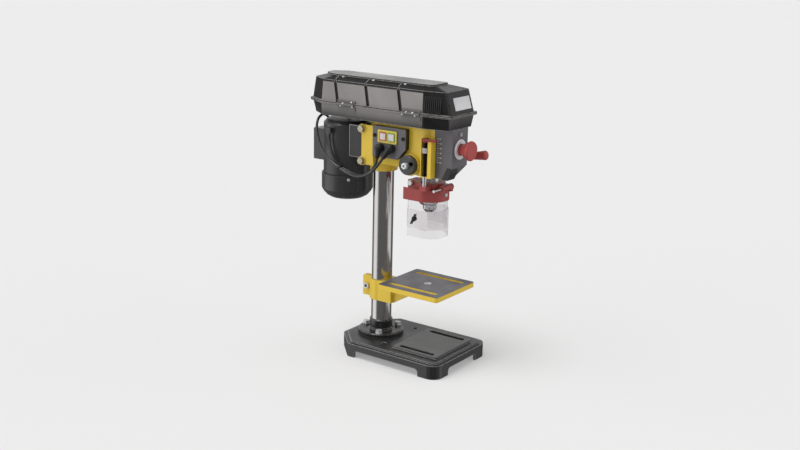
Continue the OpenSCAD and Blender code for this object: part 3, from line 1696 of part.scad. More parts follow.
module v_belt() {
  half = belt_w / 2;
  narrow = half - belt_t * tan(belt_flank);
  color(cast_black) placed() translate([0, 0, pulley_z + (belt_step + 0.5) * step_h])
    difference() {
      loft([belt_loop(0), belt_loop(0)], [-half, half]);
      loft([for (off = [-belt_edge, -belt_edge, -belt_t, -belt_t, -belt_edge, -belt_edge]) belt_loop(off)],
        [-half - past, -half, -narrow, narrow, half, half + past]);
    }
}

// Motor

module motor_body() {
  color(cast_black) placed() difference() {
    union() {
      translate([-motor_x, 0, 0])
        rotate_extrude()
          polygon([
            [0, motor_z], [motor_r, motor_z], [motor_r, motor_top - 8],
            [motor_r - 8, motor_top], [0, motor_top]
          ]);
      translate([-motor_x, -foot_w / 2, bracket_z0 + 6])
        cube([motor_r, foot_w, foot_pad_h]);
      translate([-motor_x - box_back, box_y1 - box_w, box_z1 - box_h])
        cube([box_back - motor_r + 20, box_w, box_h]);
      translate([gland_a.x, 0, gland_a.z]) {
        translate([-7, gland_a.y - 6, 0])
          cube([14, -gland_a.y, 12]);
      }
      translate([gland_b.x, gland_b.y, box_z1 - eps])
        cylinder(d1 = 16, d2 = lead_d + 4, h = gland_b.z - box_z1 + eps);
    }
    translate([-motor_x, 0, 0])
      rod_z(motor_d - 2 * motor_wall, motor_z + 8, motor_top - 10);
    translate([-motor_x, 0, 0])
      rod_z(motor_shaft_d + 2 * run, motor_z - past, motor_top + past);
  }
}

function fan_cover_side(r, h, a) = [
  [0, -h], [r - a, -h], [r - a * 0.55, 0.25 * a - h], [r - a * 0.2, 0.65 * a - h], [r, a - h], [r, 0]
];

module fan_cover() {
  r = fan_cover_d / 2;
  wall = motor_wall - 1;
  inner = fan_cover_side(r - wall, fan_cover_h - wall, fan_cover_round);
  color(cast_black) placed() translate([-motor_x, 0, motor_z])
    rotate_extrude()
      polygon(concat(fan_cover_side(r, fan_cover_h, fan_cover_round), [for (i = [5:-1:0]) inner[i]]));
}

module motor_shaft() {
  rotor_r = motor_r - motor_wall - stator_t;
  color(bright_steel) placed() translate([-motor_x, 0, 0]) {
    rod_z(motor_shaft_d, motor_z - fan_cover_h / 2, pulley_z + pulley_h - 1);
    rod_z(2 * rotor_r, motor_z + rotor_room, motor_top - rotor_room - 6);
  }
}

module motor_bracket() {
  z1 = bracket_z0 + bracket_h;
  slot_z0 = wing_z0 - 1;
  slot_z1 = wing_z1;
  ear_x = -slide_bolt_x - ear_d / 2;
  color(dark_steel) placed() difference() {
    union() {
      translate([bracket_web_x, -bracket_y, bracket_z0])
        cube([bracket_t, 2 * bracket_y, bracket_h]);
      for (s = [0, 1])
        mirror([0, s, 0]) {
          side_prism(rounded_box(bracket_rear_x, ear_x + 4, bracket_z0, z1, 1),
            bracket_rear_y, bracket_y);
          side_prism(rounded_box(ear_x, bracket_front_x, slot_z0, slot_z1, 4),
            bracket_rear_y, bracket_y);
        }
    }
    slide_bolt_places()
      for (s = [0, 1])
        mirror([0, s, 0])
          translate([-motor_travel / 2, bracket_rear_y, 0])
            rotate([-90, 0, 0])
              slot_x(motor_travel + bolt_d + 2 * gap, bolt_d + 2 * gap, -past, bracket_t + past);
  }
}

module bracket_bolts() {
  grip = wing_t + ear_t + bracket_t + 2 * gap;
  color(bright_steel) placed() slide_bolt_places()
    for (s = [-1, 1])
      rotate([s * 90, 0, 0])
        translate([0, 0, boss_y + wing_t + ear_t]) {
          hex_bolt(bolt_d, bolt_af, bolt_head_h, grip + bolt_head_h);
          hex_z(bolt_af, -grip - bolt_head_h, -grip);
        }
}

// Switch

function switch_outline(d) = [
  [switch_x0 + d, switch_z0 + d], [switch_x1 - switch_cut_x - d / 2, switch_z0 + d],
  [switch_x1 - d, switch_z0 + switch_cut_z + d / 2], [switch_x1 - d, switch_z1 - d],
  [switch_x0 + d, switch_z1 - d]
];

module button_places() {
  for (s = [-1, 1])
    translate([bezel_x + s * button_pitch / 2, 0, bezel_z])
      children();
}

module button_block(extra, y0, y1) {
  side_prism(rounded_box(-button_w / 2 - extra, button_w / 2 + extra, -button_h / 2 - extra,
    button_h / 2 + extra, 1.5 + extra), y0, y1);
}

module switch_box() {
  color(cast_black) placed() difference() {
    side_prism(switch_outline(0), -switch_y0, -head_y);
    side_prism(switch_outline(3), -switch_y0 - past, -head_y - 2.5);
  }
}

module switch_plate() {
  color(paint_grey) placed() difference() {
    side_prism(switch_outline(0), -switch_y1, -switch_y0);
    button_places()
      button_block(gap, -switch_y1 - past, -switch_y0 + past);
    for (x = plate_screw_xs)
      translate([x, 0, bezel_z])
        rod_y(screw_d, -switch_y1 - past, -switch_y0 + past);
  }
}

module switch_bezel() {
  w = button_pitch / 2 + button_w / 2 + bezel_border;
  h = button_h / 2 + bezel_border;
  color(paint_yellow) placed() difference() {
    translate([bezel_x, 0, bezel_z])
      side_prism(rounded_box(-w, w, -h, h, 2), -switch_y1 - bezel_t, -switch_y1);
    button_places()
      button_block(gap, -switch_y1 - bezel_t - past, -switch_y1 + past);
  }
}

module push_button(s) {
  translate([bezel_x + s * button_pitch / 2, 0, bezel_z])
    button_block(0, -switch_y1 - button_out, -switch_y0 + button_travel);
}

module start_button() {
  color(signal_green) placed() push_button(1);
}

module stop_button() {
  color(signal_red) placed() push_button(-1);
}

// Strain relief: a domed base and a taper that ends where the lead begins
module lead_boot(from, to) {
  dir = to - from;
  translate([from.x, 0, from.z])
    rod_y(18, from.y, -switch_y1);
  translate(from)
    sphere(d = 18);
  translate(from)
    rotate([0, acos(dir.z / norm(dir)), atan2(dir.y, dir.x)])
      cylinder(d1 = 17, d2 = lead_d + 2.5, h = norm(dir));
}

module lead_boots() {
  color(cast_black) placed() difference() {
    union() {
      lead_boot(boot_a, lead_a_route[0]);
      lead_boot(boot_b, lead_b_route[0]);
    }
    side_prism(rounded_box(switch_x0, switch_x1, switch_z0, switch_z1, 2), -switch_y1, 0);
  }
}

module switch_lead_a() {
  color(cast_black) placed() tube_along(lead_a_route, lead_d);
}

module switch_lead_b() {
  color(cast_black) placed() tube_along(lead_b_route, lead_d);
}

base();
column_flange();
flange_bolts();
column();
table();
clamp_nut();
table_lock_lever();
head_casting();
front_cover();
lamp_pod();
head_screws();
estop_ring();
estop_button();
switch_box();
switch_plate();
switch_bezel();
start_button();
stop_button();
lead_boots();
spring_cap();
return_spring();
pinion_shaft();
feed_hub();
feed_spokes();
feed_knobs();
depth_rod();
depth_nuts();
depth_pointer();
quill();
quill_bearings();
spindle();
chuck_body();
chuck_sleeve();
chuck_jaw(0);  // chuck_jaw_1
chuck_jaw(1);  // chuck_jaw_2
chuck_jaw(2);  // chuck_jaw_3
guard_collar();
collar_bolt();
guard_hinge_pin();
guard_frame();
upper_shield();
lower_shield();
wing_screw();
belt_tray();
tray_bolts();
belt_lid();
lid_hinge_leaves();
tray_hinge_leaves();
spindle_pulley();
drive_sleeve();
sleeve_bearings();
v_belt();
motor_pulley();
motor_shaft();
motor_body();
fan_cover();
motor_bracket();
bracket_bolts();
switch_lead_a();
switch_lead_b();
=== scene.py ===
"""Benchtop drill press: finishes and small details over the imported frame."""
import math

import bmesh
import bpy
from bpy.props import FloatProperty, FloatVectorProperty, IntProperty, PointerProperty
from mathutils import Matrix, Vector


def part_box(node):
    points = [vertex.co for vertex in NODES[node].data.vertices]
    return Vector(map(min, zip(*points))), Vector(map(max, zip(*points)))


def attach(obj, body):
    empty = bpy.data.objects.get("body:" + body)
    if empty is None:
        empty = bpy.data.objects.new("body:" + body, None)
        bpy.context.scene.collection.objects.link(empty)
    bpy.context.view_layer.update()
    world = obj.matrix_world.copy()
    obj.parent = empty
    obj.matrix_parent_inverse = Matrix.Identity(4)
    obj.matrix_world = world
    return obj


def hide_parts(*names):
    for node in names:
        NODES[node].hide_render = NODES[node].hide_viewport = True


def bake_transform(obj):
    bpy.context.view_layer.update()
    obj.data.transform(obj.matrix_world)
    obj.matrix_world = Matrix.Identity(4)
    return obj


bl_info = {
    "name": "Benchtop drill press",
    "version": (1, 0, 0),
    "blender": (4, 5, 0),
    "location": "View3D > Sidebar > Drill press",
    "description": "Dresses the packed drill press: finishes, leads, fasteners and a stage",
    "category": "Object",
}

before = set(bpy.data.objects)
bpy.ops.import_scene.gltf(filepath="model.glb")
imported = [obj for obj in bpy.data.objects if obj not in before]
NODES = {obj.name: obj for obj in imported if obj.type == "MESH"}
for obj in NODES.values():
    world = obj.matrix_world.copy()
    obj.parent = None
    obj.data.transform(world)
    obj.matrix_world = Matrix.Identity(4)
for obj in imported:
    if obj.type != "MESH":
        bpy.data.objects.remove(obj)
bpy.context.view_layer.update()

# Column axis stands this far behind the middle of the part, in millimetres
COLUMN_X = 22.25

UP = Vector((0, 0, 1))
SWITCH_SIDE = Vector((0, -1, 0))


def at(x, y, z):
    """A point in millimetres from the column's foot, as metres in the part's frame."""
    return Vector(((x - COLUMN_X) / 1000, y / 1000, z / 1000))


# Camera of the photograph, with its focal length as a share of the picture's width
CAMERA_SPOT = Vector((1.43625, -1.981, 0.9431))
CAMERA_LOOK = Vector((-0.5606, 0.7868, -0.2581)).normalized()
CAMERA_ROLL = math.radians(1.28)
PHOTO_FOCAL = 1138 / 800
SENSOR_WIDTH = 36.0

# Pale floor: its side in metres, and how much it glows
FLOOR_SIDE = 160.0
FLOOR_GLOW = 0.28

# Strength of the sky: in the picture, on dull faces, and in shiny faces off and near the horizon
SKY_SEEN = 0.83
SKY_LIGHT = 0.45
SKY_MIRRORED = (0.17, 1.0)

# Soft boxes as shiny faces see them: direction and half width in degrees, and glow
SOFT_BOXES = ((-142, 23, 1.4), (30, 19, 1.1))

# Their blurred edges: degrees out from and in from the half width
BOX_BLUR = (13, 6)

# Heights of a direction between which the horizon comes and goes, and the soft boxes end
HORIZON_COMES, HORIZON_GOES, BOXES_END = (-0.03, 0.08), (0.5, 0.3), (0.75, 0.6)

# Broad studio lights: the way that each shines, its strength, and its spread in degrees
LIGHTS = {
    "left_light": ((0.72, 0.604, -0.342), 1.6, 70),
    "right_light": ((-0.814, -0.47, -0.342), 0.75, 60),
    "overhead": ((0.16, 0.24, -0.95), 1.5, 26),
}

# Routes of the two leads from the switch to the motor, in millimetres
LEAD_A = [
    (25, -60, 450), (22, -62, 435), (8, -63, 417), (-19, -63, 406), (-52, -62, 411),
    (-77, -62, 420), (-93, -62, 436), (-102, -62, 456), (-106, -61, 473), (-106, -61, 488.4),
]
LEAD_B = [
    (44, -65, 453), (34, -68, 438), (14, -70, 417), (-19, -70, 405), (-52, -69, 410),
    (-77, -69, 420), (-101, -67, 431), (-123, -63, 447), (-142, -54, 468), (-157, -43, 490),
    (-164, -30, 509), (-165, -13, 518), (-165, 3, 513), (-165, 13, 503), (-165, 13, 495.6),
]

# Grooves between the lid's panels: where they start, and how far they lean for each step up
GROOVES = (-87, -4, 82)
GROOVE_LEAN = 9 / 49.5

# Spots near which the details sit, in millimetres
TIE_SPOT = (-71, -65.5, 418.1)
BADGE_SPOT = (205, 5, 582.5)
SCALE_TOP = (158, -29, 505)
PINION_AXIS = (96.875, 0, 442.7)
HOLE_SHADE_SPOT = (109.5, -60, 447.5)
GUARD_SCREW_SPOT = (175, -3.2, 381)
LID_SCREWS_X, LID_SCREW_Y, LID_SCREW_Z = (-88, -6, 78), 36, 614
BEAD_BACK, BEAD_Y, BEAD_Z = 13, 43, 615
HINGE_Y = -66
RIVET_ROWS = (
    ("tray_hinge_leaves", "frame", 546, (-73, -41, 91, 124)),
    ("lid_hinge_leaves", "lid", 562, (-67, -47, 97, 118)),
)

# First rib, length of the row of ribs, their side, and both ends of a rib, in millimetres
RIB_START, RIB_ROW, RIB_Y, RIB_ENDS = 145, 36, 64, (563, 599)

# Motor's axis, and radius, height and first angle of the ring of fan cover screws
MOTOR_X, FAN_RING_R, FAN_RING_Z, FAN_TURN = -102, 70, 386, -49.5

# Table's drill axis in millimetres, and reach of its hole with its edge in metres
DRILL_X = 125
TABLE_HOLE_R = 0.0125

# Depth that beads and ribs are let in, and number of marks on the depth scale
LET_IN = 0.0004
SCALE_MARKS = 11

# Edges that turn by more than this angle, in radians, are rounded
SHARP = 0.6

# Worn edges and edges with a painted highlight: cosine of the turn where one starts to show and
# shows fully, and noise that breaks it
EDGE_TURN = (0.988, 0.9)
EDGE_BREAKS = (0.26, 0.44)

# Settled dust, and half the change of roughness over a skin
DUST = (0.32, 0.31, 0.3, 1.0)
SHEEN_SPREAD = 0.06


class PressSizes(bpy.types.PropertyGroup):
    """Sizes of the details."""

    lead_d: FloatProperty(
        name="Lead", description="Diameter of a lead", default=0.006, unit="LENGTH")
    lead_steps: IntProperty(
        name="Lead steps", description="Points between two points of a lead's route", default=6)
    screw_r: FloatProperty(
        name="Screw", description="Radius of a small screw head", default=0.0032, unit="LENGTH")
    rivet_r: FloatProperty(
        name="Rivet", description="Radius of a rivet head", default=0.0024, unit="LENGTH")
    nut_r: FloatProperty(
        name="Nut", description="Radius of the nut on the pinion shaft, over its corners",
        default=0.0075, unit="LENGTH")
    ribs: IntProperty(
        name="Ribs", description="Ribs on each front cheek of the lid", default=9)
    badge: FloatVectorProperty(
        name="Badge", description="Width and height of the bare plate", size=2,
        default=(0.06, 0.027), unit="LENGTH")
    depth_step: FloatProperty(
        name="Depth step", description="Distance between two marks of the depth scale",
        default=0.005, unit="LENGTH")
    bevel: FloatProperty(
        name="Edge", description="Radius that painted edges seem to have",
        default=0.0009, unit="LENGTH")


class PressFinishes(bpy.types.PropertyGroup):
    """Colours of the finishes."""

    yellow: FloatVectorProperty(
        name="Yellow", description="Enamel of head and table", subtype="COLOR",
        default=(0.68, 0.475, 0.036))
    black: FloatVectorProperty(
        name="Black", description="Enamel of base, flange and motor bracket", subtype="COLOR",
        default=(0.014, 0.014, 0.015))
    housing: FloatVectorProperty(
        name="Housing", description="Powder coat of belt housing", subtype="COLOR",
        default=(0.012, 0.0115, 0.012))
    grey: FloatVectorProperty(
        name="Grey", description="Moulding of front cover and switch plate", subtype="COLOR",
        default=(0.105, 0.1, 0.11))
    red: FloatVectorProperty(
        name="Red", description="Moulding of guard", subtype="COLOR", default=(0.29, 0.042, 0.037))
    knob_red: FloatVectorProperty(
        name="Knob red", description="Moulding of stop button and knobs", subtype="COLOR",
        default=(0.38, 0.055, 0.05))
    steel: FloatVectorProperty(
        name="Steel", description="Turned steel", subtype="COLOR", default=(0.62, 0.6, 0.58))
    zinc: FloatVectorProperty(
        name="Zinc", description="Plated bolts", subtype="COLOR", default=(0.66, 0.66, 0.67))
    floor: FloatVectorProperty(
        name="Floor", description="Studio floor", subtype="COLOR", default=(0.48, 0.48, 0.48))


# Shader helpers

def add(tree, kind, inputs=None, **settings):
    """Adds a node, sets it up, and fills or links its inputs."""
    node = tree.nodes.new(kind)
    for key, value in settings.items():
        setattr(node, key, value)
    for key, value in (inputs or {}).items():
        if isinstance(value, bpy.types.NodeSocket):
            tree.links.new(value, node.inputs[key])
        else:
            node.inputs[key].default_value = value
    return node


def feed(tree, node, **sockets):
    """Links sockets to a node's inputs, named with _ for a space."""
    for key, socket in sockets.items():
        tree.links.new(socket, node.inputs[key.replace("_", " ")])


def math_node(tree, operation, a, b=0.0, clamp=False):
    """The result of one sum or comparison."""
    node = add(tree, "ShaderNodeMath", {0: a, 1: b}, operation=operation, use_clamp=clamp)
    return node.outputs[0]


def times(tree, a, b):
    """a times b."""
    return math_node(tree, "MULTIPLY", a, b)


def apart(tree, a, b):
    """How far a lies from b."""
    return math_node(tree, "ABSOLUTE", math_node(tree, "SUBTRACT", a, b))


def mix_colour(tree, share, a, b):
    """Colour a where share is 0 and b where it is 1."""
    return add(tree, "ShaderNodeMix", {0: share, 6: a, 7: b}, data_type="RGBA").outputs[2]


def mix_value(tree, share, a, b):
    """Number a where share is 0 and b where it is 1."""
    return add(tree, "ShaderNodeMix", {0: share, 2: a, 3: b}, data_type="FLOAT").outputs[0]


def map_range(tree, value, low, high, to_low=0.0, to_high=1.0):
    """value from low..high to to_low..to_high, held at both ends."""
    node = add(tree, "ShaderNodeMapRange", {
        "Value": value, "From Min": low, "From Max": high, "To Min": to_low, "To Max": to_high})
    return node.outputs[0]


def noise(tree, vector, scale, detail, roughness=0.5):
    """Noise that is the same on each run."""
    node = add(tree, "ShaderNodeTexNoise", {
        "Vector": vector, "Scale": scale, "Detail": detail, "Roughness": roughness})
    return node.outputs[0]


def object_place(tree):
    """Object coordinates."""
    return add(tree, "ShaderNodeTexCoord").outputs["Object"]


def object_xyz(tree):
    """The three parts of the object coordinates."""
    return add(tree, "ShaderNodeSeparateXYZ", {0: object_place(tree)}).outputs


def new_group(name, inputs, outputs):
    """An empty shader group with its sockets, and its two end nodes."""
    tree = bpy.data.node_groups.new(name, "ShaderNodeTree")
    for label, default in inputs.items():
        socket = tree.interface.new_socket(
            name=label, in_out="INPUT", socket_type="NodeSocketFloat")
        socket.default_value = default
    for label in outputs:
        kind = "NodeSocketVector" if label == "Normal" else "NodeSocketFloat"
        tree.interface.new_socket(name=label, in_out="OUTPUT", socket_type=kind)
    return tree, tree.nodes.new("NodeGroupInput").outputs, tree.nodes.new("NodeGroupOutput")


def build_edge_group():
    """Worn and highlit edges: a mask along edges, for edge wear and painted edge highlights, and a
    normal that rounds them.
    """
    tree, start, end = new_group(
        "Worn edges", {"Radius": 0.0009, "Amount": 0.5}, ("Mask", "Normal"))
    rounded = add(tree, "ShaderNodeBevel", {"Radius": start["Radius"]}, samples=6).outputs[0]
    flat = add(tree, "ShaderNodeNewGeometry").outputs["True Normal"]
    turn = add(tree, "ShaderNodeVectorMath", {0: rounded, 1: flat},
               operation="DOT_PRODUCT").outputs["Value"]
    edge = map_range(tree, turn, *EDGE_TURN)
    broken = map_range(tree, noise(tree, object_place(tree), 95.0, 5.0), *EDGE_BREAKS)
    worn_and_highlit = times(tree, edge, broken)
    mask = math_node(tree, "MULTIPLY", worn_and_highlit, start["Amount"], clamp=True)
    feed(tree, end, Mask=mask, Normal=rounded)
    return tree


def build_grain_group():
    """Fine grain of a cast, sprayed or moulded skin."""
    tree, start, end = new_group("Skin grain", {"Scale": 900.0}, ("Height", "Tone"))
    place = object_place(tree)
    fine = noise(tree, place, start["Scale"], 3.0, 0.55)
    cells = add(tree, "ShaderNodeTexVoronoi", {"Vector": place, "Scale": start["Scale"]},
                feature="SMOOTH_F1").outputs["Distance"]
    height = math_node(tree, "ADD", fine, times(tree, cells, 0.35))
    feed(tree, end, Height=height, Tone=fine)
    return tree


def build_handling_group():
    """Broad uneven sheen left by hands and oil, and dust on faces that look up."""
    tree, start, end = new_group("Handling", {"Scale": 14.0}, ("Sheen", "Dust"))
    place = object_place(tree)
    broad = noise(tree, place, start["Scale"], 4.0, 0.6)
    up = add(tree, "ShaderNodeSeparateXYZ", {
        0: add(tree, "ShaderNodeNewGeometry").outputs["Normal"]}).outputs[2]
    specks = noise(tree, place, 210.0, 4.0)
    settled = times(tree, map_range(tree, up, 0.5, 1.0), map_range(tree, specks, 0.5, 0.75))
    feed(tree, end, Sheen=map_range(tree, broad, 0.3, 0.7), Dust=settled)
    return tree


def build_tool_group():
    """Fine parallel tool marks, level round an upright turned or ground face."""
    tree, start, end = new_group(
        "Tool marks", {"Across": 60.0, "Along": 2500.0}, ("Height", "Tone"))
    x, y, z = object_xyz(tree)
    stretched = add(tree, "ShaderNodeCombineXYZ", {
        0: times(tree, x, start["Across"]), 1: times(tree, y, start["Across"]),
        2: times(tree, z, start["Along"])}).outputs[0]
    lines = noise(tree, stretched, 1.0, 4.0, 0.6)
    feed(tree, end, Height=lines, Tone=map_range(tree, lines, 0.3, 0.7))
    return tree


# Shared groups by name
GROUP_MAKERS = {
    "Worn edges": build_edge_group,
    "Skin grain": build_grain_group,
    "Handling": build_handling_group,
    "Tool marks": build_tool_group,
}


def use_group(tree, name, **inputs):
    """Places one of the shared groups in a material."""
    made = bpy.data.node_groups.get(name) or GROUP_MAKERS[name]()
    return add(tree, "ShaderNodeGroup", inputs, node_tree=made).outputs


def new_material(name, roughness, **plain):
    """A material with its node tree and its shader, whose inputs are named with _ for a space."""
    material = bpy.data.materials.new(name)
    material.use_nodes = True
    tree = material.node_tree
    shader = tree.nodes["Principled BSDF"]
    shader.inputs["Roughness"].default_value = roughness
    for key, value in plain.items():
        shader.inputs[key.replace("_", " ")].default_value = value
    return material, tree, shader


def opened(material):
    """Node tree and shader of a material, and the sources of its colour and roughness."""
    tree = material.node_tree
    shader = tree.nodes["Principled BSDF"]
    paint, sheen = (shader.inputs[key].links[0].from_socket for key in ("Base Color", "Roughness"))
    return tree, shader, paint, sheen


def rgba(colour, gain=1.0):
    """A colour with its alpha, brighter or darker by gain."""
    return (*[min(1.0, c * gain) for c in colour], 1.0)


def relief(tree, strength, depth, marks, edges):
    """A normal with the relief of marks, and with rounded edges."""
    return add(tree, "ShaderNodeBump", {
        "Strength": strength, "Distance": depth, "Height": marks["Height"],
        "Normal": edges["Normal"]}).outputs[0]


def skin(name, colour, rough, grain, depth, wear_and_highlight, wear_and_highlight_colour, dust=0.25, radius=None, gloss=0.5):
    """Painted or moulded skin: grain, uneven sheen, settled dust, and paler edges for edge wear and
    painted edge highlights.
    """
    material, tree, shader = new_material(name, rough, Specular_IOR_Level=gloss)
    radius = radius or bpy.context.scene.press_sizes.bevel
    edges = use_group(tree, "Worn edges", Radius=radius, Amount=wear_and_highlight)
    marks = use_group(tree, "Skin grain", Scale=grain)
    hands = use_group(tree, "Handling")
    tone = mix_colour(tree, marks["Tone"], rgba(colour, 0.88), rgba(colour, 1.1))
    dusty = mix_colour(tree, times(tree, hands["Dust"], dust), tone, DUST)
    # Paler edges: edge wear, and on the base, black, bracket, housing and bead skins also a painted
    # highlight
    worn_and_highlit = mix_colour(tree, edges["Mask"], dusty, rgba(wear_and_highlight_colour))
    sheen = mix_value(tree, hands["Sheen"], rough - SHEEN_SPREAD, rough + SHEEN_SPREAD)
    feed(tree, shader, Base_Color=worn_and_highlit, Roughness=sheen,
         Normal=relief(tree, 0.35, depth, marks, edges))
    return material


def bare_metal(name, colour, rough, across=60.0, along=2500.0, stain=0.2, metal=1.0):
    """Bare or plated metal with tool marks, slight stains and softened edges."""
    material, tree, shader = new_material(name, rough, Metallic=metal)
    edges = use_group(tree, "Worn edges", Radius=0.0004, Amount=0.5)
    marks = use_group(tree, "Tool marks", Across=across, Along=along)
    hands = use_group(tree, "Handling", Scale=32.0)
    tone = mix_colour(tree, marks["Tone"], rgba(colour, 0.9), rgba(colour, 1.06))
    stained = mix_colour(tree, times(tree, hands["Sheen"], stain), tone, rgba(colour, 0.55))
    # Edges brighter: partly burnished wear and partly a painted highlight
    bright = mix_colour(tree, edges["Mask"], stained, rgba(colour, 1.25))
    sheen = mix_value(tree, hands["Sheen"], rough * 0.85, rough * 1.25)
    feed(tree, shader, Base_Color=bright, Roughness=sheen,
         Normal=relief(tree, 0.25, 0.00002, marks, edges))
    return material


def colour_beyond(material, axis, limit, colour):
    """Gives a metal another colour beyond a limit along one axis."""
    tree, shader, plain, _ = opened(material)
    blur = 0.0004
    marks = use_group(tree, "Tool marks")
    other = mix_colour(tree, marks["Tone"], rgba(colour, 0.88), rgba(colour, 1.08))
    beyond = map_range(tree, object_xyz(tree)[axis], limit - blur, limit + blur)
    feed(tree, shader, Base_Color=mix_colour(tree, beyond, plain, other))


def mill_table(material):
    """Mills the table's top face to bare steel, and paints its drilled hole's wall near white:
    partly bare drilled steel and partly a painted highlight.
    """
    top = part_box("table")[1].z
    tree, shader, paint, sheen = opened(material)
    x, y, z = object_xyz(tree)
    milled = math_node(tree, "GREATER_THAN", z, top - 0.0002)
    lines = add(tree, "ShaderNodeCombineXYZ", {
        0: times(tree, x, 1400.0), 1: times(tree, y, 40.0)}).outputs[0]
    marks = noise(tree, lines, 1.0, 4.0, 0.65)
    broad = use_group(tree, "Handling", Scale=24.0)
    steel = mix_colour(tree, marks, (0.12, 0.112, 0.126, 1), (0.25, 0.24, 0.262, 1))
    oiled = mix_colour(tree, times(tree, broad["Sheen"], 0.4), steel, (0.1, 0.095, 0.105, 1))
    across = add(tree, "ShaderNodeCombineXYZ", {
        0: math_node(tree, "SUBTRACT", x, at(DRILL_X, 0, 0).x), 1: y}).outputs[0]
    reach = add(tree, "ShaderNodeVectorMath", {0: across}, operation="LENGTH").outputs["Value"]
    # Drilled hole's wall near white and not metallic: partly bare drilled steel and partly a
    # painted highlight
    bore = times(tree, math_node(tree, "SUBTRACT", 1.0, milled),
                 math_node(tree, "LESS_THAN", reach, TABLE_HOLE_R))
    drilled_and_highlight = mix_colour(tree, marks, (0.66, 0.65, 0.63, 1), (0.82, 0.81, 0.8, 1))
    face = mix_colour(tree, milled, paint, oiled)
    feed(tree, shader, Base_Color=mix_colour(tree, bore, face, drilled_and_highlight),
         Roughness=mix_value(tree, milled, sheen, mix_value(tree, broad["Sheen"], 0.34, 0.46)),
         Metallic=times(tree, milled, 0.85))


def rub_housing(material, coat_colour):
    """Paints the flat side panels of lid and tray paler, partly a matte grey panel and partly a
    painted reflection of the soft box, and keeps the grooves between them dark.
    """
    tree, shader, paint, _ = opened(material)
    x, y, z = object_xyz(tree)
    wall, panels_end, nose_start = 0.0535, at(137, 0, 0).x, at(196, 0, 0).x
    groove_in, groove_out = 0.0036, 0.0044
    seam, top = (corner.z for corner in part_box("belt_lid"))
    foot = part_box("belt_tray")[0].z
    side = math_node(tree, "GREATER_THAN", math_node(tree, "ABSOLUTE", y), wall)
    behind = math_node(tree, "LESS_THAN", x, panels_end)
    # Heights at which the panels of lid and tray come and go; the tray's panel also fades from
    # paler at the top to darker at the bottom, a painted light and shade
    lid = times(tree, map_range(tree, z, seam + 0.0022, seam + 0.0032),
                map_range(tree, z, top - 0.0145, top - 0.016))
    tray = times(tree, map_range(tree, z, seam - 0.001, seam - 0.002),
                 map_range(tree, z, foot + 0.002, seam - 0.006, 0.15, 0.95))
    level = math_node(tree, "MAXIMUM", lid, tray)
    rise = times(tree, math_node(tree, "SUBTRACT", z, seam), GROOVE_LEAN)
    lean = math_node(tree, "ADD", x, rise)
    clear = apart(tree, lean, at(GROOVES[0], 0, 0).x)
    for start in GROOVES[1:]:
        clear = math_node(tree, "MINIMUM", clear, apart(tree, lean, at(start, 0, 0).x))
    open_face = math_node(tree, "MAXIMUM", map_range(tree, clear, groove_in, groove_out),
                          math_node(tree, "LESS_THAN", z, seam))
    panel = times(tree, times(tree, side, behind), times(tree, level, open_face))
    # The tray's front nose is painted a little paler too, as the side panels are
    nose = times(tree, math_node(tree, "GREATER_THAN", x, nose_start), times(tree, tray, 0.3))
    # The lid's top face is painted a little paler: a painted reflection of the bright backdrop
    plate = map_range(tree, z, top - 0.0006, top - 0.0002, 0.0, 0.3)
    pale = math_node(tree, "MAXIMUM", math_node(tree, "MAXIMUM", panel, nose), plate)
    broad = use_group(tree, "Handling", Scale=9.0)
    # Grey of the panels: partly their coat and partly a painted reflection
    grey_and_painted_sheen = mix_colour(tree, broad["Sheen"], (0.2, 0.19, 0.185, 1), (0.27, 0.256, 0.248, 1))
    coat = mix_colour(tree, pale, paint, grey_and_painted_sheen)
    groove = times(tree, times(tree, side, lid), map_range(tree, clear, groove_out, groove_in))
    feed(tree, shader, Base_Color=mix_colour(tree, groove, coat, rgba(coat_colour, 0.6)))


def smooth_base(material):
    """Makes the base's raised work face smoother and greyer, partly a ground finish and partly a
    painted sheen.
    """
    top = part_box("base")[1].z
    tree, shader, paint, sheen = opened(material)
    face = math_node(tree, "GREATER_THAN", object_xyz(tree)["Z"], top - 0.0004)
    # Greyer colour of the work face: partly a ground finish and partly a painted sheen
    grey_and_painted_sheen = mix_colour(tree, use_group(tree, "Handling", Scale=30.0)["Sheen"],
                        (0.045, 0.045, 0.046, 1), (0.07, 0.07, 0.072, 1))
    feed(tree, shader, Base_Color=mix_colour(tree, face, paint, grey_and_painted_sheen),
         Roughness=mix_value(tree, face, sheen, 0.28))


def button_finish(name, node, rim):
    """Push button: coloured rim round a white middle, which is a painted highlight."""
    low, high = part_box(node)
    middle, half = (low + high) / 2, (high - low) / 2
    material, tree, shader = new_material(name, 0.3)
    x, _, z = object_xyz(tree)
    side = math_node(tree, "DIVIDE", math_node(tree, "SUBTRACT", x, middle.x), half.x)
    rise = math_node(tree, "DIVIDE", math_node(tree, "SUBTRACT", z, middle.z), half.z)
    reach = math_node(tree, "MAXIMUM", math_node(tree, "ABSOLUTE", side),
                      math_node(tree, "ABSOLUTE", rise))
    # White middle of the button face: painted highlight
    lens = map_range(tree, reach, 0.78, 0.7)
    edges = use_group(tree, "Worn edges", Radius=0.0006, Amount=0.2)
    hands = use_group(tree, "Handling", Scale=60.0)
    white = mix_colour(tree, hands["Sheen"], (0.5, 0.47, 0.46, 1), (0.6, 0.57, 0.56, 1))
    feed(tree, shader, Base_Color=mix_colour(tree, lens, rgba(rim), white),
         Roughness=mix_value(tree, hands["Sheen"], 0.22, 0.36), Normal=edges["Normal"])
    return material


def clear_finish():
    """Clear shield with faint moulding haze."""
    material, tree, shader = new_material("Clear shield", 0.05, Transmission_Weight=1.0, IOR=1.24)
    hands = use_group(tree, "Handling", Scale=18.0)
    tint = mix_colour(tree, hands["Sheen"], (0.85, 0.835, 0.845, 1), (0.9, 0.89, 0.895, 1))
    feed(tree, shader, Base_Color=tint, Roughness=mix_value(tree, hands["Sheen"], 0.02, 0.07))
    return material
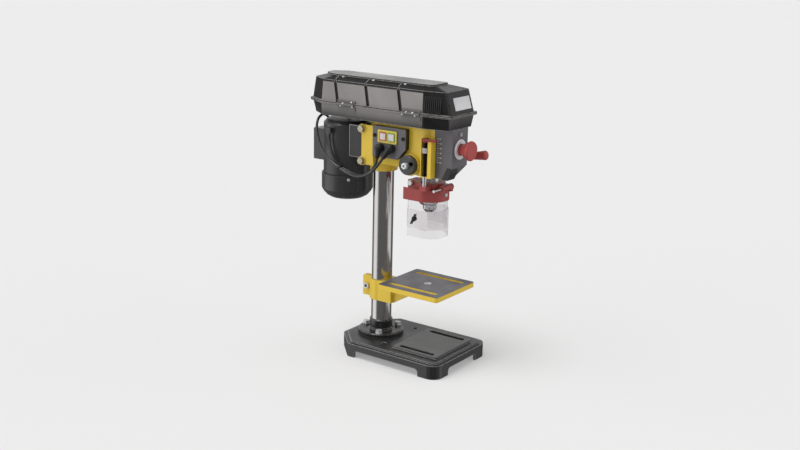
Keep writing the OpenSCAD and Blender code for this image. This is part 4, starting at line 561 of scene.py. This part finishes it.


# Skins: material, colour or its name in PressFinishes, roughness, scale and depth of the grain,
# pale edges and their colour (edge wear, and on base, black, bracket, housing and bead skins also
# a painted highlight), and what differs from a usual skin
SKINS = {
    "base": ("Base enamel", "black", 0.3, 520.0, 0.0002, 1.0, (0.27, 0.27, 0.27),
             {"dust": 0.06, "radius": 0.003}),
    "table": ("Table enamel", "yellow", 0.36, 700.0, 0.00012, 0.35, (0.5, 0.4, 0.18), {}),
    "yellow": ("Yellow enamel", "yellow", 0.32, 620.0, 0.00012, 0.4, (0.6, 0.46, 0.2),
               {"dust": 0.1, "radius": 0.0014}),
    "black": ("Black enamel", "black", 0.24, 560.0, 0.0002, 0.9, (0.27, 0.27, 0.27),
              {"dust": 0.05, "radius": 0.002}),
    "bracket": ("Bracket enamel", "black", 0.34, 560.0, 0.0002, 1.0, (0.6, 0.58, 0.55),
                {"dust": 0.05, "radius": 0.0035}),
    "motor": ("Motor enamel", (0.032, 0.032, 0.033), 0.3, 420.0, 0.00012, 0.5,
              (0.14, 0.14, 0.14), {"dust": 0.05, "radius": 0.0014}),
    "housing": ("Housing coat", "housing", 0.25, 1500.0, 0.00004, 0.9, (0.46, 0.445, 0.43),
                {"dust": 0.03, "radius": 0.002, "gloss": 0.22}),
    # Hinge leaves painted the grey of the side panels: partly their coat and partly a painted
    # reflection
    "hinge": ("Hinge coat", (0.13, 0.124, 0.12), 0.3, 1500.0, 0.00004, 0.3, (0.3, 0.29, 0.28),
              {"dust": 0.03, "gloss": 0.35}),
    # Beads painted paler than the lid's coat, their edges paler still: a painted highlight
    "bead": ("Bead coat", (0.2, 0.195, 0.19), 0.22, 1500.0, 0.00004, 0.8, (0.5, 0.5, 0.5),
             {"dust": 0.03}),
    "rib": ("Rib coat", (0.022, 0.021, 0.021), 0.45, 1500.0, 0.00003, 0.1, (0.1, 0.1, 0.1),
            {"dust": 0.02, "gloss": 0.3}),
    "grey": ("Grey moulding", "grey", 0.46, 1300.0, 0.0001, 0.3, (0.2, 0.19, 0.2), {}),
    "black_plastic": ("Black moulding", (0.014, 0.014, 0.015), 0.34, 1200.0, 0.00008, 0.3,
                      (0.08, 0.08, 0.08), {"dust": 0.08, "gloss": 0.4}),
    "cap": ("Cap moulding", (0.045, 0.045, 0.047), 0.44, 1000.0, 0.0001, 0.4,
            (0.12, 0.12, 0.12), {}),
    "red_guard": ("Guard moulding", "red", 0.42, 1400.0, 0.00006, 0.3, (0.55, 0.14, 0.12), {}),
    "red_knob": ("Knob moulding", "knob_red", 0.36, 1400.0, 0.00005, 0.25, (0.62, 0.16, 0.14), {}),
    "bezel": ("Bezel moulding", (0.6, 0.5, 0.06), 0.38, 1400.0, 0.00005, 0.2, (0.8, 0.7, 0.3), {}),
    "pointer": ("Pointer moulding", (0.2, 0.022, 0.018), 0.4, 1400.0, 0.00005, 0.3,
                (0.3, 0.06, 0.05), {}),
    "plate": ("Bare plate", (0.62, 0.61, 0.63), 0.34, 1800.0, 0.00003, 0.3, (0.8, 0.8, 0.8), {}),
    "ink": ("White ink", (0.7, 0.7, 0.7), 0.5, 2400.0, 0.00002, 0.05, (0.7, 0.7, 0.7),
            {"radius": 0.0001}),
    "belt": ("Belt rubber", (0.018, 0.018, 0.018), 0.62, 1600.0, 0.00006, 0.1,
             (0.06, 0.06, 0.06), {"dust": 0.1, "radius": 0.0004}),
    "lead": ("Lead sheath", (0.03, 0.03, 0.031), 0.25, 1600.0, 0.00006, 0.1,
             (0.06, 0.06, 0.06), {"dust": 0.1, "radius": 0.0004}),
}

# Metals: material, colour or its name in PressFinishes, roughness, and what differs
METALS = {
    "column": ("Ground column", (0.5, 0.485, 0.475), 0.17,
               {"across": 30.0, "along": 3200.0, "stain": 0.05}),
    "steel": ("Turned steel", "steel", 0.26, {}),
    "dark_steel": ("Dark steel", (0.11, 0.11, 0.115), 0.36, {}),
    "chuck": ("Chuck steel", (0.5, 0.5, 0.51), 0.2, {"along": 3600.0}),
    "pulley": ("Cast aluminium", (0.7, 0.7, 0.71), 0.36, {"stain": 0.3}),
    "ring": ("Turned ring", (0.84, 0.84, 0.85), 0.36, {"metal": 0.4}),
    "chrome": ("Bright plate", (0.8, 0.8, 0.81), 0.3,
               {"across": 300.0, "along": 300.0, "metal": 0.6}),
    "zinc": ("Zinc plate", "zinc", 0.38, {"across": 300.0, "along": 300.0, "metal": 0.6}),
    "dull_zinc": ("Dull zinc", (0.46, 0.43, 0.33), 0.4, {"across": 300.0, "along": 300.0}),
    "screws": ("Cover screws", (0.03, 0.03, 0.031), 0.32, {"stain": 0.1}),
    "rod": ("Depth rod", (0.7, 0.7, 0.71), 0.32, {"stain": 0.1}),
}


def build_finishes():
    """All finishes by name."""
    colours = bpy.context.scene.press_finishes
    made = {
        "start": button_finish("Start lens", "start_button", (0.2, 0.32, 0.09)),
        "stop": button_finish("Stop lens", "stop_button", (0.4, 0.07, 0.06)),
        "clear": clear_finish(),
    }
    for make, rows in ((skin, SKINS), (bare_metal, METALS)):
        for key, (name, colour, *values, other) in rows.items():
            if isinstance(colour, str):
                colour = getattr(colours, colour)
            made[key] = make(name, colour, *values, **other)
    smooth_base(made["base"])
    mill_table(made["table"])
    rub_housing(made["housing"], colours.housing)
    colour_beyond(made["screws"], "X", at(150, 0, 0).x, (0.62, 0.62, 0.63))
    colour_beyond(made["rod"], "Z", at(0, 0, 424).z, (0.022, 0.022, 0.023))
    return made


# Nodes of the frame by their finish
NODE_FINISHES = {
    "base": ["base"],
    "table": ["table"],
    "yellow": ["head_casting"],
    "black": ["column_flange"],
    "bracket": ["motor_bracket"],
    "motor": ["motor_body", "fan_cover"],
    "housing": ["belt_tray", "belt_lid"],
    "hinge": ["lid_hinge_leaves", "tray_hinge_leaves"],
    "screws": ["head_screws"],
    "rod": ["depth_rod"],
    "pointer": ["depth_pointer"],
    "chrome": ["depth_nuts"],
    "grey": ["front_cover", "switch_plate"],
    "black_plastic": ["lamp_pod", "switch_box", "lead_boots", "wing_screw"],
    "cap": ["spring_cap"],
    "red_guard": ["guard_frame", "guard_collar"],
    "red_knob": ["estop_button", "feed_knobs"],
    "bezel": ["switch_bezel"],
    "start": ["start_button"],
    "stop": ["stop_button"],
    "column": ["column"],
    "steel": ["quill", "spindle", "pinion_shaft", "feed_spokes", "motor_shaft",
              "guard_hinge_pin", "drive_sleeve", "quill_bearings", "sleeve_bearings"],
    "dark_steel": ["return_spring", "table_lock_lever",
                   "chuck_jaw_1", "chuck_jaw_2", "chuck_jaw_3"],
    "zinc": ["flange_bolts", "clamp_nut", "collar_bolt", "tray_bolts"],
    "dull_zinc": ["bracket_bolts"],
    "chuck": ["chuck_body", "chuck_sleeve"],
    "ring": ["estop_ring"],
    "pulley": ["spindle_pulley", "motor_pulley", "feed_hub"],
    "clear": ["upper_shield", "lower_shield"],
    "belt": ["v_belt"],
    "lead": ["switch_lead_a", "switch_lead_b"],
}

# Finishes by name, filled when the frame is painted
FINISHES = {}


# Modelling helpers

def activate(*pieces):
    """Only these pieces selected, and the first one active."""
    bpy.ops.object.select_all(action="DESELECT")
    for piece in pieces:
        piece.select_set(True)
    bpy.context.view_layer.objects.active = pieces[0] if pieces else None


def dress(piece, name, body, finish):
    """Names a piece, gives it its finish, and lets it ride on a body."""
    piece.name = name
    piece.data.name = name
    piece.data.materials.clear()
    piece.data.materials.append(FINISHES[finish])
    if body:
        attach(piece, body)


def take_in():
    """Takes the selected piece's place, turn and size into its mesh."""
    bpy.ops.object.transform_apply(location=True, rotation=True, scale=True)


def put(piece, place):
    """Moves a piece to its place."""
    activate(piece)
    piece.matrix_world = place
    take_in()
    return piece


def modify(piece, kind, **settings):
    """Adds a modifier to a piece, sets it up and applies it."""
    activate(piece)
    bpy.ops.object.modifier_add(type=kind)
    for key, value in settings.items():
        setattr(piece.modifiers[-1], key, value)
    bpy.ops.object.modifier_apply(modifier=piece.modifiers[-1].name)


def shape_top(piece, insets, sunk=0.0):
    """Steps the top face of a piece inward, and sinks what is left of it."""
    bpy.ops.object.mode_set(mode="EDIT")
    bpy.ops.mesh.select_mode(type="FACE")
    bpy.ops.mesh.select_all(action="DESELECT")
    mesh = bmesh.from_edit_mesh(piece.data)
    for face in mesh.faces:
        face.select_set(face.normal.z > 0.9)
    bmesh.update_edit_mesh(piece.data)
    for thickness, depth in insets:
        bpy.ops.mesh.inset(thickness=thickness, depth=depth)
    if sunk:
        bpy.ops.mesh.extrude_region_move(TRANSFORM_OT_translate={"value": (0.0, 0.0, -sunk)})
    bpy.ops.object.mode_set(mode="OBJECT")


def bevel(piece, width, segments=2):
    """Rounds a piece's sharp edges."""
    modify(piece, "BEVEL", width=width, segments=segments, limit_method="ANGLE", angle_limit=SHARP)
    bpy.ops.object.shade_smooth_by_angle(angle=SHARP)


def solid(kind, **shape):
    """A primitive as the only selected piece, with its size in its mesh."""
    activate()
    getattr(bpy.ops.mesh, f"primitive_{kind}_add")(**shape)
    take_in()
    return bpy.context.object


def block(length, width, height):
    """A block standing on z = 0."""
    return solid("cube", size=1.0, scale=(length, width, height), location=(0, 0, height / 2))


def facing(spot, out, up=UP):
    """A turn and a place with z along out, and y as near to up as it gets."""
    side = up.cross(out).normalized()
    turn = Matrix((side, out.cross(side).normalized(), out)).transposed()
    return Matrix.Translation(spot) @ turn.to_4x4()


def on_node(node, spot):
    """The nearest point on a node's surface, and the way that it faces."""
    found, place, normal, _ = NODES[node].closest_point_on_mesh(spot)
    if not found:
        raise RuntimeError(f"no surface on {node}")
    return place, normal


def join(pieces):
    """Makes several pieces one."""
    activate(*pieces)
    bpy.ops.object.join()
    return pieces[0]


def set_copies(piece, places):
    """Copies a piece to each place, and makes the copies one piece."""
    copies = []
    for place in places:
        activate(piece)
        bpy.ops.object.duplicate()
        copies.append(put(bpy.context.object, place))
    bpy.data.objects.remove(piece)
    return join(copies)


def screw_head(radius, height, socket=0.45, sides=24):
    """A domed screw head with a socket, let in by half its height."""
    head = solid("cylinder", vertices=sides, radius=radius, depth=1.5 * height,
                 location=(0, 0, 0.25 * height))
    dome = 0.22
    shape_top(head, ((dome * radius, dome * height),
                     ((1 - dome - socket) * radius, 0.1 * height)), 0.7 * height)
    bevel(head, 0.08 * radius)
    return head


def smooth_route(points, steps):
    """Points of one smooth curve through a route."""
    ends = [2 * points[0] - points[1], *points, 2 * points[-1] - points[-2]]
    route = []
    for a, b, c, d in zip(ends, ends[1:], ends[2:], ends[3:]):
        for k in range(steps):
            t = k / steps
            route.append((2 * b + (c - a) * t + (2 * a - 5 * b + 4 * c - d) * t ** 2
                          + (3 * b - a - 3 * c + d) * t ** 3) / 2)
    return route + [points[-1]]


class PRESS_OT_paint(bpy.types.Operator):
    """Gives every solid of the frame its finish"""

    bl_idname = "press.paint"
    bl_label = "Paint the frame"

    def execute(self, context):
        FINISHES.update(build_finishes())
        left = set(NODES)
        for finish, nodes in NODE_FINISHES.items():
            for node in nodes:
                for slot in NODES[node].material_slots:
                    slot.material = FINISHES[finish]
                left.discard(node)
        if left:
            raise RuntimeError(f"no finish for {sorted(left)}")
        # Light reaches the guard's walls through the clear shields
        for node in NODE_FINISHES["clear"]:
            NODES[node].visible_shadow = False
        return {"FINISHED"}


class PRESS_OT_lead_tie(bpy.types.Operator):
    """Makes the tie that holds the two leads together"""

    bl_idname = "press.lead_tie"
    bl_label = "Lead tie"

    def execute(self, context):
        r = context.scene.press_sizes.lead_d / 2
        band = solid("cylinder", vertices=40, radius=1.0, depth=0.0045, end_fill_type="NOTHING",
                     scale=(2.3 * r, 1.25 * r, 1.0))
        modify(band, "SOLIDIFY", thickness=0.0011, offset=1.0)
        bevel(band, 0.0003)
        run = at(*LEAD_A[5]) - at(*LEAD_A[4])
        put(band, facing(at(*TIE_SPOT), run.normalized()))
        dress(band, "lead_tie", None, "black_plastic")
        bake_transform(band)
        return {"FINISHED"}


class PRESS_OT_leads(bpy.types.Operator):
    """Makes the two leads between the switch and the motor"""

    bl_idname = "press.leads"
    bl_label = "Switch leads"

    def execute(self, context):
        sizes = context.scene.press_sizes
        for name, spots in (("switch_lead_a", LEAD_A), ("switch_lead_b", LEAD_B)):
            route = smooth_route([at(*p) for p in spots], sizes.lead_steps)
            ties = [bpy.data.objects["lead_tie"]] if spots is LEAD_A else []
            self.make_lead(name, route, sizes.lead_d, ties)
        return {"FINISHED"}

    def make_lead(self, node, route, diameter, ties):
        """One round lead along its route."""
        curve = bpy.data.curves.new("lead", "CURVE")
        curve.dimensions = "3D"
        curve.bevel_depth = diameter / 2
        curve.bevel_resolution = 5
        curve.use_fill_caps = True
        spline = curve.splines.new("POLY")
        spline.points.add(len(route) - 1)
        for point, spot in zip(spline.points, route):
            point.co = (*spot, 1.0)
        lead = bpy.data.objects.new("lead", curve)
        bpy.context.scene.collection.objects.link(lead)
        activate(lead)
        bpy.ops.object.convert(target="MESH")
        bpy.ops.object.shade_smooth()
        lead = bpy.context.object
        dress(lead, node + "_sheath", None, "lead")
        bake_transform(lead)
        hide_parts(node)


class PRESS_OT_lid_screws(bpy.types.Operator):
    """Sets the bright screws along both shoulders of the lid"""

    bl_idname = "press.lid_screws"
    bl_label = "Lid screws"

    def execute(self, context):
        r = context.scene.press_sizes.screw_r
        places = [facing(*on_node("belt_lid", at(x, LID_SCREW_Y * side, LID_SCREW_Z)))
                  for side in (-1, 1) for x in LID_SCREWS_X]
        screws = set_copies(screw_head(r, 0.5 * r), places)
        dress(screws, "lid_screws", "lid", "zinc")
        return {"FINISHED"}


class PRESS_OT_shoulder_beads(bpy.types.Operator):
    """Sets the pressed beads that carry the lid's grooves over its shoulders"""

    bl_idname = "press.shoulder_beads"
    bl_label = "Shoulder beads"

    def execute(self, context):
        bead = block(0.0026, 0.016, 0.0016)
        bevel(bead, 0.0007, segments=3)
        places = []
        for side in (-1, 1):
            for groove in GROOVES:
                spot, out = on_node("belt_lid", at(groove - BEAD_BACK, BEAD_Y * side, BEAD_Z))
                run = Vector((-0.2, -side, 0.0))
                along = (run - out * run.dot(out)).normalized()
                places.append(facing(spot - LET_IN * out, out, along))
        dress(set_copies(bead, places), "shoulder_beads", "lid", "bead")
        return {"FINISHED"}


class PRESS_OT_hinge_rivets(bpy.types.Operator):
    """Sets the rivets of the hinge leaves on lid and tray"""

    bl_idname = "press.hinge_rivets"
    bl_label = "Hinge rivets"

    def execute(self, context):
        r = context.scene.press_sizes.rivet_r
        for node, body, z, row in RIVET_ROWS:
            places = [facing(*on_node(node, at(x, HINGE_Y, z))) for x in row]
            rivets = set_copies(screw_head(r, 0.6 * r, socket=0.25, sides=16), places)
            dress(rivets, node.replace("leaves", "rivets"), body, "zinc")
        return {"FINISHED"}


class PRESS_OT_lid_ribs(bpy.types.Operator):
    """Sets fine upright ribs on the front cheeks of the lid"""

    bl_idname = "press.lid_ribs"
    bl_label = "Lid ribs"

    def execute(self, context):
        n = context.scene.press_sizes.ribs
        rib = block(0.0022, 0.036, 0.0011)
        bevel(rib, 0.0005, segments=3)
        places = []
        for side in (-1, 1):
            for k in range(n):
                x = RIB_START + RIB_ROW * k / (n - 1)
                (low, _), (high, out) = (
                    on_node("belt_lid", at(x, RIB_Y * side, z)) for z in RIB_ENDS)
                rise = (high - low).normalized()
                out = (out - rise * out.dot(rise)).normalized()
                places.append(facing((low + high) / 2 - LET_IN * out, out, rise))
        dress(set_copies(rib, places), "lid_ribs", "lid", "rib")
        return {"FINISHED"}


class PRESS_OT_badge(bpy.types.Operator):
    """Sets the bare plate on the front of the lid"""

    bl_idname = "press.badge"
    bl_label = "Badge plate"

    def execute(self, context):
        width, height = context.scene.press_sizes.badge
        plate = block(width, height, 0.0014)
        shape_top(plate, [(0.0013, 0.0)], 0.0005)
        bevel(plate, 0.0004)
        spot, out = on_node("belt_lid", at(*BADGE_SPOT))
        put(plate, facing(spot - 0.0002 * out, out))
        dress(plate, "badge_plate", "lid", "plate")
        return {"FINISHED"}


class PRESS_OT_depth_scale(bpy.types.Operator):
    """Sets the depth scale's marks and numbers on the front cover"""

    bl_idname = "press.depth_scale"
    bl_label = "Depth scale"

    def execute(self, context):
        step = context.scene.press_sizes.depth_step
        beside = Vector((0.0075, 0.00005, 0.0))
        marks = []
        for k in range(SCALE_MARKS):
            start = at(*SCALE_TOP) - k * step * UP
            numbered = k % 2 == 0
            length = 0.0062 if numbered else 0.004
            mark = block(length, 0.0007, 0.0003)
            bevel(mark, 0.00008)
            spot = start + Vector((length / 2, 0.00015, 0.0))
            marks.append(put(mark, facing(spot, SWITCH_SIDE)))
            if numbered:
                marks.append(self.number(round(1000 * k * step), start + beside))
        dress(join(marks), "depth_scale", "frame", "ink")
        return {"FINISHED"}

    def number(self, value, spot):
        """One plain number beside its mark."""
        activate()
        bpy.ops.object.text_add()
        text = bpy.context.object.data
        text.body = str(value)
        text.size = 0.0048
        text.extrude = 0.0001
        text.align_y = "CENTER"
        bpy.ops.object.convert(target="MESH")
        return put(bpy.context.object, facing(spot, SWITCH_SIDE))


class PRESS_OT_cap_nut(bpy.types.Operator):
    """Sets the nut on the end of the pinion shaft, before the spring cap"""

    bl_idname = "press.cap_nut"
    bl_label = "Cap nut"

    def execute(self, context):
        r = context.scene.press_sizes.nut_r
        height = 0.0075
        nut = solid("cylinder", vertices=6, radius=r, depth=height, location=(0, 0, height / 2))
        shape_top(nut, [(0.14 * r, 0.0006)])
        bevel(nut, 0.0004)
        bore = solid("cylinder", vertices=32, radius=0.0034, depth=0.012, location=(0, 0, 0.009))
        modify(nut, "BOOLEAN", object=bore)
        bpy.data.objects.remove(bore)
        bpy.ops.object.shade_smooth_by_angle(angle=0.5)
        spot = at(*PINION_AXIS)
        spot.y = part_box("pinion_shaft")[0].y + 0.0002
        put(nut, facing(spot, SWITCH_SIDE))
        dress(nut, "cap_nut", "feed", "chrome")
        return {"FINISHED"}


class PRESS_OT_cap_plug(bpy.types.Operator):
    """Sets a black disc with a shallow recess in the face of the spring cap: painted shade standing
    for a hole there
    """

    bl_idname = "press.cap_plug"
    bl_label = "Cap plug"

    def execute(self, context):
        shade_disc = solid("cylinder", vertices=32, radius=0.0052, depth=0.0016, location=(0, 0, 0.0004))
        # Black disc: painted shade of a hole in the cap
        shape_top(shade_disc, [(0.0009, 0.0)], 0.0012)
        bevel(shade_disc, 0.0003)
        put(shade_disc, facing(*on_node("spring_cap", at(*HOLE_SHADE_SPOT))))
        dress(shade_disc, "cap_plug", "frame", "black_plastic")
        return {"FINISHED"}


class PRESS_OT_fan_screws(bpy.types.Operator):
    """Sets the screws that hold the motor's fan cover"""

    bl_idname = "press.fan_screws"
    bl_label = "Fan cover screws"

    def execute(self, context):
        r = context.scene.press_sizes.screw_r
        places = []
        for k in range(3):
            turn = math.radians(FAN_TURN + 120 * k)
            spot = at(MOTOR_X + FAN_RING_R * math.cos(turn), FAN_RING_R * math.sin(turn),
                      FAN_RING_Z)
            places.append(facing(*on_node("fan_cover", spot)))
        screws = set_copies(screw_head(1.1 * r, 0.6 * r), places)
        dress(screws, "fan_screws", "motor", "zinc")
        return {"FINISHED"}


class PRESS_OT_guard_screw(bpy.types.Operator):
    """Sets the bright screw on the front of the guard"""

    bl_idname = "press.guard_screw"
    bl_label = "Guard screw"

    def execute(self, context):
        r = 1.3 * context.scene.press_sizes.screw_r
        place = facing(*on_node("guard_frame", at(*GUARD_SCREW_SPOT)))
        screw = put(screw_head(r, 0.7 * r), place)
        dress(screw, "guard_screw", "guard", "zinc")
        return {"FINISHED"}


class PRESS_OT_stage(bpy.types.Operator):
    """Makes the camera, the pale floor, the studio lights and the sky"""

    bl_idname = "press.stage"
    bl_label = "Stage"

    def execute(self, context):
        context.scene.view_settings.view_transform = "Standard"
        self.make_camera(context.scene)
        self.make_floor(context.scene)
        self.make_lights(context.scene)
        self.make_sky(context.scene)
        return {"FINISHED"}

    def make_camera(self, scene):
        """Camera where the photograph was taken from."""
        level = CAMERA_LOOK.cross(UP).normalized()
        upright = level.cross(CAMERA_LOOK)
        right = level * math.cos(CAMERA_ROLL) + upright * math.sin(CAMERA_ROLL)
        up = right.cross(CAMERA_LOOK)
        data = bpy.data.cameras.new("camera")
        data.sensor_fit = "HORIZONTAL"
        data.sensor_width = SENSOR_WIDTH
        data.lens = SENSOR_WIDTH * PHOTO_FOCAL
        camera = bpy.data.objects.new("camera", data)
        turn = Matrix((right, up, -CAMERA_LOOK)).transposed().to_4x4()
        camera.matrix_world = Matrix.Translation(CAMERA_SPOT) @ turn
        scene.collection.objects.link(camera)
        scene.camera = camera

    def make_floor(self, scene):
        """Wide plain pale floor, which shiny faces don't mirror."""
        activate()
        bpy.ops.mesh.primitive_plane_add(size=FLOOR_SIDE)
        floor = bpy.context.object
        floor.name = "floor"
        material, _, _ = new_material(
            "Floor", 0.9, Base_Color=rgba(scene.press_finishes.floor), Specular_IOR_Level=0.1,
            Emission_Color=(1, 1, 1, 1), Emission_Strength=FLOOR_GLOW)
        floor.data.materials.append(material)
        floor.visible_glossy = False

    def make_lights(self, scene):
        """Broad lights from the left, the right and above."""
        for name, (way, energy, spread) in LIGHTS.items():
            data = bpy.data.lights.new(name, "SUN")
            data.energy = energy
            data.angle = math.radians(spread)
            light = bpy.data.objects.new(name, data)
            light.visible_glossy = name == "overhead"
            turn = Vector(way).to_track_quat("-Z", "Y").to_matrix().to_4x4()
            light.matrix_world = Matrix.Translation((0, 0, 3)) @ turn
            scene.collection.objects.link(light)

    def make_sky(self, scene):
        """Even sky, in which shiny faces see soft boxes and a bright horizon."""
        scene.world = bpy.data.worlds.new("studio")
        scene.world.use_nodes = True
        tree = scene.world.node_tree
        sky = tree.nodes["Background"]
        ray = add(tree, "ShaderNodeLightPath").outputs
        x, y, z = add(tree, "ShaderNodeSeparateXYZ", {
            0: add(tree, "ShaderNodeTexCoord").outputs["Generated"]}).outputs
        horizon = times(tree, map_range(tree, z, *HORIZON_COMES), map_range(tree, z, *HORIZON_GOES))
        mirrored = mix_value(tree, horizon, *SKY_MIRRORED)
        turn = math_node(tree, "ARCTAN2", y, x)
        for middle, half, glow in SOFT_BOXES:
            ends = [math.radians(half + BOX_BLUR[0]), math.radians(half - BOX_BLUR[1])]
            box = map_range(tree, apart(tree, turn, math.radians(middle)), *ends)
            tall = map_range(tree, math_node(tree, "ABSOLUTE", z), *BOXES_END)
            mirrored = mix_value(tree, times(tree, box, tall), mirrored, glow)
        around = mix_value(tree, ray["Is Glossy Ray"], SKY_LIGHT, mirrored)
        feed(tree, sky, Strength=mix_value(tree, ray["Is Camera Ray"], around, SKY_SEEN))
        sky.inputs["Color"].default_value = (1, 1, 1, 1)


class PRESS_PT_panel(bpy.types.Panel):
    """Lists the pieces in the sidebar"""

    bl_idname = "PRESS_PT_panel"
    bl_label = "Drill press"
    bl_space_type = "VIEW_3D"
    bl_region_type = "UI"
    bl_category = "Drill press"

    def draw(self, context):
        for step in STEPS:
            self.layout.operator(step.bl_idname)
        for group in (context.scene.press_sizes, context.scene.press_finishes):
            for key in group.bl_rna.properties.keys():
                if key not in {"rna_type", "name"}:
                    self.layout.prop(group, key)


# Operators in the order in which main calls them
STEPS = (
    PRESS_OT_stage, PRESS_OT_paint, PRESS_OT_lead_tie, PRESS_OT_leads, PRESS_OT_lid_screws,
    PRESS_OT_shoulder_beads, PRESS_OT_hinge_rivets, PRESS_OT_lid_ribs, PRESS_OT_badge,
    PRESS_OT_depth_scale, PRESS_OT_cap_nut, PRESS_OT_cap_plug, PRESS_OT_fan_screws,
    PRESS_OT_guard_screw,
)
CLASSES = (PressSizes, PressFinishes, *STEPS, PRESS_PT_panel)


def register():
    """Registers the classes and the settings."""
    for made in CLASSES:
        bpy.utils.register_class(made)
    bpy.types.Scene.press_sizes = PointerProperty(type=PressSizes)
    bpy.types.Scene.press_finishes = PointerProperty(type=PressFinishes)


def unregister():
    """Takes the settings and the classes away."""
    del bpy.types.Scene.press_finishes
    del bpy.types.Scene.press_sizes
    for made in reversed(CLASSES):
        bpy.utils.unregister_class(made)


def main():
    """Builds everything in order."""
    register()
    for step in STEPS:
        group, name = step.bl_idname.split(".")
        getattr(getattr(bpy.ops, group), name)()
    activate()


if __name__ == "__main__":
    main()
